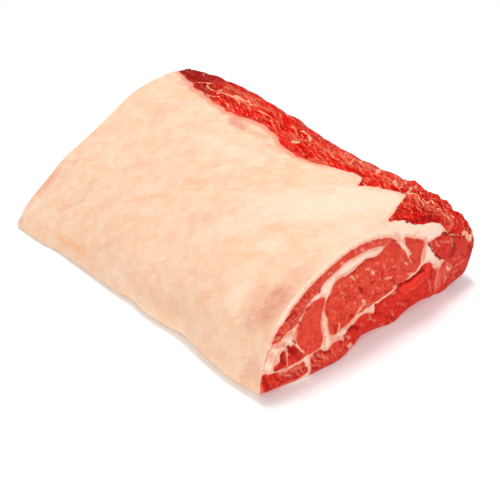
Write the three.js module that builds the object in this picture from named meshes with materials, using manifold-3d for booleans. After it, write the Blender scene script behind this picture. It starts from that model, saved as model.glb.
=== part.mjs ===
// A boneless beef rib roast with its lip and fat cap on: one trimmed block of the rib primal, cut square
// at both ends. The muscles run through it from end to end, held together by seams of fat.
// X runs across the roast, from the thin lip (-X) to the chine side (+X); Y runs along it, from the front
// cut (-Y) to the back cut (+Y); Z is up from the underside. Sizes are millimetres.
import * as THREE from "three";
import { mergeVertices } from "three/addons/utils/BufferGeometryUtils.js";
import Module from "manifold-3d";

const wasm = await Module();
wasm.setup();

// Driving dimensions. In a section, "across" is measured from the foot of the lip and "up" from the table.
const LIP_TO_MIDDLE = 113.5; // across, from the foot of the lip to the middle of the roast
const LENGTH = 327; // along, from the front cut to the back cut
const FRONT = -162.5; // where the front cut is: its swollen foot makes the roast even about the middle
const BACK = FRONT + LENGTH; // where the back cut is
const CUT_BULGE = 3; // how far the meat swells out of the back cut
const SWELL = 1.2; // rise and fall of the fat cap's surface
const STRIP_FOOT = 224; // across, where the bare strip on the chine shoulder ends at the side
const STRIP_BEVEL = 13; // how far in from the fat's edge the strip reaches its full depth
const STRIP_OUT = { across: 0.55, up: 0.83 }; // the way the strip stands out of the shoulder
const CRAGS = 0.12; // depth of the strip's crags, as a share of its thickness
const LEAN_POINTS = 1.2; // points round a muscle for each point of its outline
const GAP = 0.3; // clearance between one tissue and the next
const OVERRUN = 25; // how far the tissues are drawn past the cuts before they are trimmed

// The front cut's rim, from the foot of the lip over the fat cap and down the chine side.
const RIM = [
  [-7, 3], [-9, 12], [-7.5, 25], [-4, 40], [1, 55], [9, 66], [20, 75], [34, 83], [50, 90], [66, 95],
  [84, 98], [100, 98.5], [115, 97], [130, 95], [142, 92], [155, 88], [168, 84], [180, 77], [190, 69],
  [203, 59], [215, 51], [223, 45], [229, 35], [230, 24], [228, 12], [220, 3],
];
const UNDERSIDE = [[208, 0], [160, 0], [110, 0], [60, 0], [20, 0], [2, 0]];

// The muscles, each as the outline that it shows at the front cut. Those that lie bare underneath or at
// the side are drawn past the surface there. The order says which one gives way where two meet.
const MUSCLES = [
  {
    name: "eye_muscle",
    colour: "#c8483f",
    outline: [
      [55, 50], [56, 60], [61, 69], [69, 75], [80, 75.5], [92, 79.5], [104, 79], [116, 80.5], [126, 81],
      [134, 75], [139, 67], [145, 58], [152, 49], [159, 44], [152, 39.5], [140, 38.5], [126, 36], [110, 35],
      [97, 34], [88, 31], [80, 27.5], [70, 26], [64, 26], [60, 32], [57, 40],
    ],
  },
  {
    name: "cap_muscle",
    colour: "#b5483c",
    outline: [
      [3, 49], [10, 57], [20, 67], [34, 76], [50, 84], [66, 89], [84, 92], [100, 92.5], [114, 89.5],
      [124, 85], [130, 79], [121, 78.5], [110, 82.5], [98, 85.5], [79, 85], [65, 83], [54, 80.5], [49, 73],
      [40, 69], [33, 66], [26, 57.5], [19, 52.5], [11, 50.5],
    ],
  },
  {
    name: "side_muscle",
    colour: "#c4443b",
    outline: [
      [53.5, 63.5], [46, 66], [37, 64], [31, 59], [27, 52], [25.5, 44], [29, 34], [34, 24.5], [40, 18.5],
      [48, 18.5], [54, 24], [54.5, 33], [52, 41], [51.5, 48], [52.5, 56],
    ],
  },
  {
    name: "lip_muscle",
    colour: "#b8352c",
    outline: [
      [18, 36], [22, 35], [27, 30], [31, 25], [35.5, 20.5], [28, 20], [20, 20.5], [12, 20.5], [6, 22.5],
      [5, 25], [10, 27], [12, 32], [14, 35.5],
    ],
  },
  {
    name: "rib_lean_lip",
    colour: "#c02a22",
    steps: 15,
    outline: [
      [-6, 8], [-6, 16], [-4, 24], [-1, 24], [4, 21], [10, 18], [18, 15.5], [28, 15.5], [34.5, 14.5],
      [37.5, 10], [40, 4.5], [35, 2.2], [26, 2], [18, 2.2], [12, -3], [4, -6], [-2, -3],
    ],
  },
  {
    name: "rib_lean_middle",
    colour: "#c4352c",
    outline: [
      [43.5, 5], [45, 10], [51, 11.5], [60, 12.5], [66, 14.5], [72, 15], [78, 11.5], [83, 5], [85, -2],
      [80, -7], [62, -7], [46, -6],
    ],
  },
  {
    name: "rib_lean_chine",
    colour: "#d0362c",
    outline: [
      [77.5, 17.5], [86, 22], [96, 27], [103, 26.5], [108.5, 25.5], [112, 29.5], [120, 31], [130, 31.5],
      [139, 34], [150, 35.5], [159, 37.5], [165, 42], [172, 43], [178, 39], [178.5, 31], [177.5, 23],
      [182, 13], [186, 4], [187, -4], [178, -8], [135, -8], [100, -8], [90, -5], [86, 3],
    ],
  },
  {
    name: "wedge_muscle",
    colour: "#c4473f",
    outline: [
      [140, 79.5], [147, 75.5], [155, 70.5], [163.5, 66], [165, 60], [163, 53], [160, 45.5], [153, 46],
      [145, 56], [138.5, 67],
    ],
  },
  {
    name: "chine_lean",
    colour: "#c62d25",
    outline: [
      [171.5, 60.5], [178, 63], [186, 63], [193, 61.5], [199, 56.5], [206, 51.5], [214, 47.5], [222, 43],
      [232, 40], [242, 34], [244, 14], [238, -4], [222, -8], [202, -8], [193, -4], [189.5, 4], [187, 14],
      [190, 28], [193, 34], [188, 37.5], [184, 44], [177, 52],
    ],
  },
];

// How the section changes along the roast. Each list holds [place, value] pairs in order of place.
const FAR_HEIGHT = [
  // across -> height at the back cut, as a share of that at the front: the lip side thins out
  [-9, 0.26], [0, 0.3], [22, 0.42], [43, 0.515], [70, 0.6], [98, 0.735], [135, 0.99], [154, 1.08],
  [174, 1.14], [203, 1.36], [230, 1.36],
];
// along -> how much of that change has come about, on the lip side and on the chine side
const LIP_CHANGE = [[-164, 0], [-96, 0.14], [4, 0.52], [104, 0.88], [164, 1]];
const CHINE_CHANGE = [[-146, 0.02], [-96, 0.22], [-41, 0.4], [-6, 0.47], [44, 0.78], [104, 1.1], [164, 0.92]];
// along -> how far the lip side is drawn in, and how far its foot is notched further in
const LIP_EDGE = [[-160, 3], [-110, 3], [-60, 6], [-10, 7], [110, 7], [160, 6]];
const LIP_NOTCHES = [
  [-158, 0], [-150, -1], [-132, -2.5], [-108, -1], [-85, 1], [-65, 3], [-40, -0.5], [-18, -1], [-1, 2],
  [19, 0], [74, 1], [104, 1], [132, -2], [160, -1],
];
const STRIP_DEPTH = [
  // along -> thickness of the bare lean left on the chine shoulder
  [-170, 0], [-158, 8], [-144, 15], [-110, 15.5], [-60, 13], [-20, 13.5], [30, 16], [80, 15], [165, 14],
];
const FRONT_FOOT = [
  // across -> how far the foot of the front cut stands behind the rest of it
  [0, 1], [20, 0], [50, -4], [78, -5], [104, 1.5], [135, 0.5], [165, 1.5], [205, 2.5],
];
const FAT_EDGE = [
  // along -> across, where the fat cap stops and the bare lean of the chine shoulder begins
  [-160, 170], [-156, 140], [-151, 128], [-145, 140], [-139, 156], [-131, 170], [-122, 168], [-109, 160],
  [-98, 150], [-94, 160], [-80, 165], [-62, 161], [-48, 153], [-31, 149], [-6, 150], [24, 156], [54, 154],
  [84, 158], [119, 167], [154, 177], [174, 183],
];

function smooth(from, to, value) {
  return THREE.MathUtils.smoothstep(value, from, to);
}

// The value at a place, on a smooth line through [place, value] pairs.
function reading(pairs, place) {
  const last = pairs.length - 1;
  if (place <= pairs[0][0]) return pairs[0][1];
  if (place >= pairs[last][0]) return pairs[last][1];
  const i = pairs.findIndex((pair) => pair[0] > place) - 1;
  const slope = (a, b) => (pairs[b][1] - pairs[a][1]) / (pairs[b][0] - pairs[a][0]);
  const span = pairs[i + 1][0] - pairs[i][0];
  const t = (place - pairs[i][0]) / span;
  const leave = slope(Math.max(i - 1, 0), i + 1) * span;
  const arrive = slope(i, Math.min(i + 2, last)) * span;
  return (
    pairs[i][1] * (2 * t ** 3 - 3 * t ** 2 + 1) +
    leave * (t ** 3 - 2 * t ** 2 + t) +
    pairs[i + 1][1] * (3 * t ** 2 - 2 * t ** 3) +
    arrive * (t ** 3 - t ** 2)
  );
}

// Where a point of the front section lies at a place along the roast.
function inTissue(across, up, along) {
  const side = smooth(90, 150, across);
  const change = (1 - side) * reading(LIP_CHANGE, along) + side * reading(CHINE_CHANGE, along);
  const height = 1 + (reading(FAR_HEIGHT, across) - 1) * change;
  const notched = reading(LIP_NOTCHES, along) * (1 - smooth(0, 45, up));
  const drawnIn = (reading(LIP_EDGE, along) + notched) * (1 - smooth(0, 85, across));
  return new THREE.Vector3(across + drawnIn - LIP_TO_MIDDLE, along, up * height);
}

// The skin of the roast: the rim of the section, with the bare lean standing on the chine shoulder behind
// the front cut, crags where it is bare, and a slow swell over the fat.
function onSkin(across, up, along) {
  const point = inTissue(across, Math.max(up, 0), along);
  const strip = smooth(138, 200, across) * smooth(18, 44, up);
  const crags = Math.sin(across * 0.31 + along * 0.05) * Math.sin(along * 0.13 - across * 0.06);
  const swell = Math.sin(along * 0.041 + across * 0.02) * Math.cos(across * 0.043 - along * 0.017);
  const rise = strip * reading(STRIP_DEPTH, along) * (1 + CRAGS * crags);
  const overFat = (1 - strip) * smooth(4, 40, up) * smooth(FRONT, FRONT + 30, along);
  point.x += rise * STRIP_OUT.across;
  point.z += rise * STRIP_OUT.up + SWELL * swell * overFat;
  return point;
}

// A smooth closed outline through its points, as so many samples of it.
function smoothOutline(points, samples) {
  const curve = new THREE.CatmullRomCurve3(
    points.map(([across, up]) => new THREE.Vector3(across, up, 0)),
    true,
    "centripetal",
  );
  return curve.getSpacedPoints(samples).slice(0, samples);
}

// The same outline moved outwards by a clearance.
function grown(points, clearance) {
  const clockwise = THREE.ShapeUtils.isClockWise(points) ? 1 : -1;
  return points.map((point, i) => {
    const before = points[(i + points.length - 1) % points.length];
    const after = points[(i + 1) % points.length];
    const run = new THREE.Vector2(after.x - before.x, after.y - before.y).normalize();
    return new THREE.Vector2(
      point.x - run.y * clearance * clockwise,
      point.y + run.x * clearance * clockwise,
    );
  });
}

// A solid of the roast: an outline of its section drawn past both cuts, each point then put in its place.
function runThrough(points, steps, place) {
  const geometry = new THREE.ExtrudeGeometry(new THREE.Shape(points), {
    depth: LENGTH + 2 * OVERRUN,
    steps,
    bevelEnabled: false,
  });
  const position = geometry.getAttribute("position");
  for (let i = 0; i < position.count; i++) {
    const point = place(position.getX(i), position.getY(i), BACK + OVERRUN - position.getZ(i));
    position.setXYZ(i, point.x, point.y, point.z);
  }
  return solid(geometry);
}

// A closed geometry as a solid that can be joined and cut.
function solid(geometry) {
  const bare = geometry.clone();
  bare.deleteAttribute("normal");
  bare.deleteAttribute("uv");
  const merged = mergeVertices(bare, 1e-3);
  return new wasm.Manifold(
    new wasm.Mesh({
      numProp: 3,
      vertProperties: new Float32Array(merged.getAttribute("position").array),
      triVerts: new Uint32Array(merged.index.array),
    }),
  );
}

// Booleans can leave crumbs no thicker than the clearance: only the tissue itself is kept.
function wholePiece(manifold) {
  return manifold.decompose().reduce((most, piece) => (piece.volume() > most.volume() ? piece : most));
}

function node(name, colour, manifold) {
  const made = manifold.getMesh();
  const geometry = new THREE.BufferGeometry();
  geometry.setAttribute("position", new THREE.BufferAttribute(made.vertProperties, 3));
  geometry.setIndex(new THREE.BufferAttribute(made.triVerts, 1));
  geometry.computeVertexNormals();
  const mesh = new THREE.Mesh(
    geometry,
    new THREE.MeshStandardMaterial({ color: colour, roughness: 0.45, metalness: 0 }),
  );
  mesh.name = name;
  return mesh;
}

// The knife's two cuts, as a block: the foot of the front cut wanders, and the back cut swells a little.
function betweenCuts() {
  const block = new THREE.BoxGeometry(290, 1, 130, 12, 1, 9);
  const position = block.getAttribute("position");
  for (let i = 0; i < position.count; i++) {
    const across = position.getX(i) + LIP_TO_MIDDLE;
    const up = position.getZ(i) + 50;
    const front = FRONT + reading(FRONT_FOOT, across) * (1 - smooth(0, 35, up));
    const back = BACK + CUT_BULGE * (1 - ((up - 45) / 50) ** 2);
    position.setXYZ(i, position.getX(i), position.getY(i) < 0 ? front : back, up);
  }
  return solid(block);
}

// The bare strip of lean on the chine shoulder, from the fat cap's edge down to the side. Its bed slopes
// up to the skin along the fat's edge and behind the front cut. Its stations crowd towards the front cut,
// where the fat's edge is most ragged.
function backStrip(clearance) {
  const shoulder = RIM.filter(([across, up]) => across >= 115 && up >= 35);
  const columns = 9;
  const sheet = [];
  for (let i = 0; i <= columns; i++) sheet.push(new THREE.Vector2(i / columns, 0));
  for (let i = columns; i >= 0; i--) sheet.push(new THREE.Vector2(i / columns, 1));
  const drawn = LENGTH + 2 * OVERRUN;
  const place = (share, outward, station) => {
    const along = FRONT - OVERRUN + drawn * ((station - FRONT + OVERRUN) / drawn) ** 1.6;
    const start = reading(FAT_EDGE, along);
    const across = start + (STRIP_FOOT - start) * share ** 1.4;
    const skin = onSkin(across, reading(shoulder, across), along);
    const frontEdge = FRONT + 2 - 14 * smooth(165, 192, across);
    const inside = Math.min((across - start) / STRIP_BEVEL, (along - frontEdge) / STRIP_BEVEL, 1);
    const bed = (reading(STRIP_DEPTH, along) + 3) * inside - 3 + clearance;
    const depth = outward ? -OVERRUN : bed;
    return new THREE.Vector3(skin.x - depth * STRIP_OUT.across, along, skin.z - depth * STRIP_OUT.up);
  };
  return runThrough(sheet, 28, place);
}

const block = runThrough(smoothOutline([...RIM, ...UNDERSIDE], 60), 24, onSkin).intersect(betweenCuts());

const roast = new THREE.Group();
const strip = wholePiece(backStrip(0).intersect(block));
roast.add(node("back_lean", "#c8241c", strip));

let hollows = backStrip(GAP);
for (const { name, colour, outline, steps = 7 } of MUSCLES) {
  const edge = smoothOutline(outline, Math.round(outline.length * LEAN_POINTS));
  const muscle = runThrough(edge, steps, inTissue).intersect(block).subtract(hollows);
  roast.add(node(name, colour, wholePiece(muscle)));
  hollows = hollows.add(runThrough(grown(edge, GAP), steps, inTissue));
}
roast.add(node("fat", "#f2d9c0", wholePiece(block.subtract(hollows))));

export default roast;
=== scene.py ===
import itertools
import math

import bmesh
import bpy
import numpy as np
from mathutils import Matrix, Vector
from mathutils.kdtree import KDTree


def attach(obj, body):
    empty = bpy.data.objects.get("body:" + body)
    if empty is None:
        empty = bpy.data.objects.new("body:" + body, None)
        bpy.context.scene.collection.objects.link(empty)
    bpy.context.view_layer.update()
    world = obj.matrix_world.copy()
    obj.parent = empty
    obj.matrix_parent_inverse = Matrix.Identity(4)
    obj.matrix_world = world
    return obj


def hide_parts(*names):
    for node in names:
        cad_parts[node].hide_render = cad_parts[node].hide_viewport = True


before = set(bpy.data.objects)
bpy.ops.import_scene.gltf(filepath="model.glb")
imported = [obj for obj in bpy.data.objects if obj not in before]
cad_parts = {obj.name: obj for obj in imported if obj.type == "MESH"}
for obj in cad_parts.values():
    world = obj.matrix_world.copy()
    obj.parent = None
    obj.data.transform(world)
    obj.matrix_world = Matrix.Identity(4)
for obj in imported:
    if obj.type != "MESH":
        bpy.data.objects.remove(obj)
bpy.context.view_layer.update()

# The counter: a plain white board that runs on past the view. The roast lies on it under a soft lamp
# overhead, a low window of light from the cut's side and the light of a white room.
counter_white = (0.93, 0.95, 0.95, 1)
shape = bmesh.new()
bmesh.ops.create_grid(shape, x_segments=2, y_segments=2, size=4)
counter_mesh = bpy.data.meshes.new("counter")
shape.to_mesh(counter_mesh)
shape.free()
counter = bpy.data.objects.new("counter", counter_mesh)
bpy.context.collection.objects.link(counter)
counter_finish = bpy.data.materials.new("white_board")
counter_finish.use_nodes = True
board = counter_finish.node_tree.nodes["Principled BSDF"]
board.inputs["Base Color"].default_value = counter_white
board.inputs["Roughness"].default_value = 0.9
board.inputs["Specular IOR Level"].default_value = 0.1
board.inputs["Emission Color"].default_value = (1, 1, 1, 1)
board.inputs["Emission Strength"].default_value = 0.11
counter.data.materials.append(counter_finish)

room = bpy.data.worlds.new("white_room")
room.use_nodes = True
room.node_tree.nodes["Background"].inputs["Color"].default_value = (1, 1, 1, 1)
room.node_tree.nodes["Background"].inputs["Strength"].default_value = 0.57
bpy.context.scene.world = room
bpy.context.scene.view_settings.view_transform = "Standard"

for name, place, aim, size, power in (
    ("top_lamp", (0.14, 0.08, 1.45), (0, 0, 0.05), 0.3, 10.4),
    ("window", (-0.85, -1.25, 0.42), (-0.02, -0.12, 0.04), 1.0, 7.4),
):
    lamp = bpy.data.lights.new(name, "AREA")
    lamp.size = size
    lamp.energy = power
    holder = bpy.data.objects.new(name, lamp)
    holder.location = place
    holder.rotation_euler = (Vector(aim) - Vector(place)).to_track_quat("-Z", "Y").to_euler()
    bpy.context.collection.objects.link(holder)

view = bpy.data.cameras.new("camera")
view.lens = 80
view.sensor_width = 36
view.clip_start = 0.05
view.clip_end = 50
camera = bpy.data.objects.new("camera", view)
aim = Vector((-0.030449, -0.051648, 0.040))
turn, rise, reach = math.radians(-42.226), math.radians(32.10), 0.89497
back = Vector((math.sin(turn) * math.cos(rise), -math.cos(turn) * math.cos(rise), math.sin(rise)))
camera.location = aim + back * reach
camera.rotation_euler = (-back).to_track_quat("-Z", "Y").to_euler()
bpy.context.collection.objects.link(camera)
bpy.context.scene.camera = camera

# The trimmed block: one boneless length of the rib, cut square at both ends, before its tissues are
# told apart. Its skin is drawn from the front cut's rim, thins towards the far end on the lip side,
# and carries the raised bare strip on the chine shoulder. All the sizes here are millimetres.
MM = 0.001
LIP_TO_MIDDLE = 113.5  # the section's across starts at the lip, the block's own middle lies here
FRONT, BACK = -162.5, 164.5
STRIP_OUT = (0.55, 0.83)  # which way the bare strip stands out, across and up
# the hollow in the strip close to the front cut
STRIP_DENT = {"across": 209, "along": -146, "wide": 14, "long": 11, "deep": 4}
CUTS_OVERRUN = 7.0  # how far the uncut bars run on past both cuts
SKIN_PITCH, STRIP_PITCH, UNDER_PITCH = 2.3, 0.95, 6.0
RIM = [
    # across and up: the front cut's rim, from the lip over the top to the foot of the chine side
    (-7, 3), (-9, 12), (-7.5, 25), (-4, 40), (1, 55), (9, 66), (20, 75), (34, 83), (50, 90), (66, 95),
    (84, 98), (100, 98.5), (115, 97), (130, 95), (142, 92), (155, 88), (168, 84), (180, 77), (190, 69),
    (203, 59), (215, 51), (223, 45), (229, 35), (230, 24), (228, 12), (220, 3),
]
UNDERSIDE = [(208, 0), (160, 0), (110, 0), (60, 0), (20, 0), (2, 0)]
FAR_HEIGHT = [
    # across: how tall the section is at the far end, for a height of 1 at the front
    (-9, 0.26), (0, 0.3), (22, 0.42), (43, 0.515), (70, 0.6), (98, 0.735), (135, 0.99), (154, 1.08),
    (174, 1.14), (203, 1.36), (230, 1.36),
]
# along: how much of that change is reached, on the lip side and on the chine side
LIP_CHANGE = [(-164, 0), (-96, 0.14), (4, 0.52), (104, 0.88), (164, 1)]
CHINE_CHANGE = [(-146, 0.02), (-96, 0.22), (-41, 0.4), (-6, 0.47), (44, 0.78), (104, 1.1), (164, 0.92)]
# along: how far the lip's edge is drawn in, and its notches
LIP_EDGE = [(-160, 3), (-110, 3), (-60, 6), (-10, 7), (110, 7), (160, 6)]
LIP_NOTCHES = [
    (-158, 0), (-150, -1), (-132, -2.5), (-108, -1), (-85, 1), (-65, 3), (-40, -0.5), (-18, -1), (-1, 2),
    (19, 0), (74, 1), (104, 1), (132, -2), (160, -1),
]
STRIP_DEPTH = [
    # along: how far the bare strip stands out
    (-170, 0), (-158, 8), (-144, 15), (-110, 15.5), (-60, 12.4), (-20, 12.5), (30, 14.8), (80, 14.2),
    (165, 13.6),
]
# across: how far the foot of the front cut is pushed in
FRONT_FOOT = [(0, 1), (20, 0), (50, -4), (78, -5), (104, 1.5), (135, 0.5), (165, 1.5), (205, 2.5)]
FOOT_RECESS = [
    # across: how far the foot of the cut draws back under the meat
    (-9, 4), (0, 4.5), (10, 3), (20, 1.5), (35, 0.5), (50, 1.8), (70, 1.8), (82, 3), (90, 3), (97, 5),
    (110, 4.5), (122, 3.5), (132, 1.5), (140, 1.5), (148, 3.5), (160, 6), (174, 6), (184, 3.5), (200, 1),
    (210, 3), (222, 4), (230, 5),
]
FAT_EDGE = [
    # along: how far across the fat cap reaches
    (-164, 150), (-161.5, 132), (-157.5, 123.5), (-154, 128), (-150, 136), (-145, 145.5), (-140.5, 152.5),
    (-137.5, 160.5), (-134, 166), (-128, 166.5), (-122, 164.5), (-111, 159), (-104, 154.5), (-99.5, 150.5),
    (-96, 157), (-93, 161), (-84, 163.5), (-77, 162), (-65, 157.5), (-51, 153.5), (-39, 149.7),
    (-22, 149.7), (-10, 153.5), (-1, 158), (10, 161), (22, 164), (33, 161.5), (45, 160), (60, 159),
    (77, 158), (98, 160.5), (119, 164.5), (135, 170), (154, 176), (174, 182),
]
BED_DEPTH = [
    # along: how deep the bed of the bare strip lies under its skin
    (-170, 9), (-158, 10), (-144, 15), (-110, 15.5), (-60, 13), (-20, 13.5), (30, 16), (80, 15), (165, 14),
]
BED_FRONT = [
    # across: how far behind the front cut the bed comes up to the skin; past the cut it shows in it
    (118, 6), (132, 3), (140, -1), (150, -8), (162, -11), (172, -9.5), (182, -10), (190, -10.5), (198, -13),
    (230, -14),
]


def smooth(low, high, value):
    """A soft rise from 0 at the first mark to 1 at the second."""
    share = np.clip((np.asarray(value, float) - low) / (high - low), 0, 1)
    return share * share * (3 - 2 * share)


def reading(pairs, place):
    """The value at each place, on a smooth line through the pairs."""
    at, value = np.array(pairs, float).T
    place = np.clip(np.asarray(place, float), at[0], at[-1])
    i = np.clip(np.searchsorted(at, place, side="right") - 1, 0, len(at) - 2)
    before, after = np.maximum(i - 1, 0), np.minimum(i + 2, len(at) - 1)
    span = at[i + 1] - at[i]
    t = (place - at[i]) / span
    leave = (value[i + 1] - value[before]) / (at[i + 1] - at[before]) * span
    arrive = (value[after] - value[i]) / (at[after] - at[i]) * span
    return (
        value[i] * (2 * t**3 - 3 * t**2 + 1) + leave * (t**3 - 2 * t**2 + t)
        + value[i + 1] * (3 * t**2 - 2 * t**3) + arrive * (t**3 - t**2)
    )


def mottle(spot, seed=0):
    """Soft chance rise and fall between -1 and 1, one step apart in each direction of the spots."""
    spot = np.asarray(spot, float) + seed * 31.7
    low = np.floor(spot).astype(np.int64)
    part = spot - low
    part = part * part * (3 - 2 * part)
    total = 0
    for corner in itertools.product((0, 1), repeat=spot.shape[-1]):
        mixed = 0
        weight = 1
        for k, step in enumerate(corner):
            mixed = (mixed ^ ((low[..., k] + step) * (73856093, 19349663, 83492791)[k])) & 0x7FFFFFFF
            weight = weight * (part[..., k] if step else 1 - part[..., k])
        mixed = ((mixed ^ (mixed >> 13)) * 1274126177) & 0x7FFFFFFF
        mixed = ((mixed ^ (mixed >> 11)) * 668265263) & 0x7FFFFFFF
        total = total + weight * (((mixed >> 7) & 0xFFFF) / 32767.5 - 1)
    return total


def crumbled(spot, seed=0, times=3):
    """Mottling with finer mottling on it."""
    spot = np.asarray(spot, float)
    return sum(mottle(spot * 2.03**k, seed + k) * 0.5**k for k in range(times))


def closed_line(points, samples):
    """A smooth closed line through its points, at even steps."""
    p = np.array(points, float)
    drawn = []
    for i in range(len(p)):
        p0, p1, p2, p3 = p[i - 1], p[i], p[(i + 1) % len(p)], p[(i + 2) % len(p)]
        d0, d1, d2 = (math.sqrt(np.linalg.norm(b - a)) for a, b in ((p0, p1), (p1, p2), (p2, p3)))
        m1 = ((p1 - p0) / d0 - (p2 - p0) / (d0 + d1) + (p2 - p1) / d1) * d1
        m2 = ((p2 - p1) / d1 - (p3 - p1) / (d1 + d2) + (p3 - p2) / d2) * d1
        t = np.linspace(0, 1, 24, endpoint=False)[:, None]
        drawn.append(
            p1 * (2 * t**3 - 3 * t**2 + 1) + m1 * (t**3 - 2 * t**2 + t)
            + p2 * (3 * t**2 - 2 * t**3) + m2 * (t**3 - t**2)
        )
    drawn = np.concatenate(drawn)
    ring = np.concatenate([drawn, drawn[:1]])
    run = np.concatenate([[0], np.cumsum(np.linalg.norm(np.diff(ring, axis=0), axis=1))])
    step = np.linspace(0, run[-1], samples, endpoint=False)
    return np.stack([np.interp(step, run, ring[:, k]) for k in (0, 1)], 1)


def in_tissue(across, up, along):
    """Where a point of the front section lies at a place along the roast."""
    side = smooth(90, 150, across)
    change = (1 - side) * reading(LIP_CHANGE, along) + side * reading(CHINE_CHANGE, along)
    height = 1 + (reading(FAR_HEIGHT, across) - 1) * change
    notched = reading(LIP_NOTCHES, along) * (1 - smooth(0, 45, up))
    drawn_in = (reading(LIP_EDGE, along) + notched) * (1 - smooth(0, 85, across))
    return np.stack([across + drawn_in - LIP_TO_MIDDLE, along + 0 * across, up * height], -1)


SLITS = [
    # across, along, half length, lean of the slit, depth: nicks of the trimming knife in the fat
    (128, -106, 5, 0.5, 0.9), (79, 140, 3, 1.2, 0.6), (66, 50, 7, 0.25, 0.5), (84, 52, 6, 0.1, 0.5),
    (118, 14, 8, 0.2, 0.5), (80, -22, 6, 0.3, 0.4), (26, -4, 6, 0.5, 0.5), (44, 96, 5, 0.3, 0.4),
    (104, 92, 5, -0.3, 0.4), (60, -92, 7, 0.2, 0.4), (20, 62, 5, 0.4, 0.4), (98, -60, 6, 0.15, 0.4),
]


def fat_edge(along):
    """Where the fat cap stops, across, and the bare lean of the chine shoulder begins."""
    along = np.asarray(along, float)
    ragged = 1.5 * mottle(np.stack([along / 7, along * 0], -1), 31) + 0.9 * mottle(
        np.stack([along / 2.6, along * 0], -1), 32
    )
    return reading(FAT_EDGE, along) + ragged


def bare_share(across, along):
    """How far a place is past the fat's edge, on the bare lean: 0 on the fat, 1 on the lean."""
    return smooth(0, 5, across - fat_edge(along)) * smooth(FRONT - 1, FRONT + 6, along)


STRIP_PALE = [
    # width, strength, then across and along of its points: sinew and fat threads on the bare strip
    (0.72, 0.8, [(172, 126), (174, 120), (176, 115), (178, 113)]),
    (0.86, 0.9, [(175, 113), (172, 108), (171, 102), (173, 97), (176, 95)]),
    (0.72, 0.8, [(160, 101), (163, 97), (167, 92), (168, 88)]),
    (0.65, 0.5, [(164, 104), (158, 99), (157, 93)]),
    (1.01, 0.9, [(170, 93), (174, 89), (176, 84), (177, 76), (175, 70), (172, 65)]),
    (1.08, 0.9, [(178, 80), (180, 72), (181, 64), (180, 57)]),
    (0.58, 0.7, [(167, 81), (165, 74), (164, 68), (162, 61)]),
    (0.86, 0.5, [(162, 83), (160, 77), (159, 70), (161, 63)]),
    (1.15, 0.7, [(186, 134), (192, 142), (198, 151)]), (0.65, 0.5, [(177, 123), (183, 129)]),
    (0.86, 0.6, [(185, 108), (183, 99), (184, 90)]),
    (1.15, 0.6, [(176, 58), (174, 51), (177, 44), (179, 37)]),
    (1.87, 0.6, [(180, 60), (184, 54), (187, 46)]),
    (0.65, 0.9, [(179, 38), (177, 32), (174, 27), (172, 22)]), (0.58, 0.5, [(182, 34), (178, 28)]),
    (1.22, 0.7, [(161, 45), (162, 38), (164, 33), (165, 28), (163, 22), (160, 18)]),
    (0.86, 0.5, [(170, 22), (172, 16), (171, 10)]), (2.16, 0.95, [(165, -12), (167, -16)]),
    (1.3, 0.9, [(184, 0), (184.5, -7), (181, -14), (177, -18)]),
    (0.65, 0.6, [(169, -9), (174, -5), (179, -1)]), (0.72, 0.7, [(171, -12), (176, -14)]),
    (1.01, 0.7, [(171, -24), (175, -22), (178, -25)]),
    (0.86, 0.8, [(181, -35), (177, -41), (174, -46), (172, -52)]), (0.58, 0.5, [(187, 20), (184, 8)]),
    (0.58, 0.5, [(188, -15), (184, -30)]), (0.72, 0.6, [(173, -52), (172, -58), (174, -65)]),
    (0.65, 0.7, [(177, -58), (175, -66), (171, -75)]), (0.65, 0.6, [(182, -60), (180, -70), (176, -79)]),
    (0.58, 0.7, [(187, -58), (184, -69), (183, -78)]), (0.65, 0.5, [(166, -62), (165, -70)]),
    (0.72, 0.6, [(180, -92), (178, -100), (179, -108)]),
    (0.94, 0.7, [(171, -111), (174, -118), (172, -125)]),
    (1.15, 0.8, [(170, -129), (173, -135), (171, -143), (172, -151)]),
    (0.45, 0.63, [(151, -143.5), (156, -147), (163, -145), (169, -142)]),
    (0.45, 0.56, [(159, -140), (161, -146), (166, -149.5)]),
    (0.65, 0.63, [(162, -150), (165, -155), (164, -160)]),
    (0.77, 0.56, [(137, -152.5), (144, -154.5), (151, -158)]), (0.39, 0.49, [(147, -147.5), (153, -152)]),
    (0.94, 0.8, [(175, -143), (181, -147), (187, -150)]),
    (0.94, 0.8, [(177, -152), (183, -156), (190, -158)]),
    (0.5, 0.7, [(167, -151), (172, -156), (179, -161)]),
    (0.65, 0.7, [(186, -128), (182, -136), (181, -142)]),
    (0.86, 0.7, [(192, -144), (196, -151), (199, -160)]), (0.52, 0.42, [(131, -156), (137, -157)]),
    (0.7, 0.8, [(172, -72), (180, -64), (190, -58)]), (0.7, 0.8, [(170, -84), (178, -74), (190, -66)]),
    (0.8, 0.8, [(176, -96), (184, -86), (194, -80)]), (0.7, 0.7, [(174, -60), (182, -52), (192, -46)]),
    (0.8, 0.8, [(178, -112), (186, -104), (195, -98)]), (0.7, 0.8, [(174, -122), (184, -116), (194, -110)]),
    (0.8, 0.8, [(172, -132), (182, -126), (192, -121)]), (0.7, 0.8, [(180, -137), (190, -131)]),
    (1.2, 0.9, [(181, -92), (186, -88)]), (0.7, 0.8, [(188, -140), (196, -148), (202, -158)]),
    (0.7, 0.8, [(184, -144), (190, -152), (194, -161)]), (0.6, 0.8, [(176, -148), (184, -158)]),
    (0.54, 0.56, [(146, -152), (150, -149), (156, -151)]),
    (0.54, 0.49, [(152, -156), (158, -153), (164, -156)]), (0.54, 0.49, [(138, -155), (143, -152)]),
]
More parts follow.
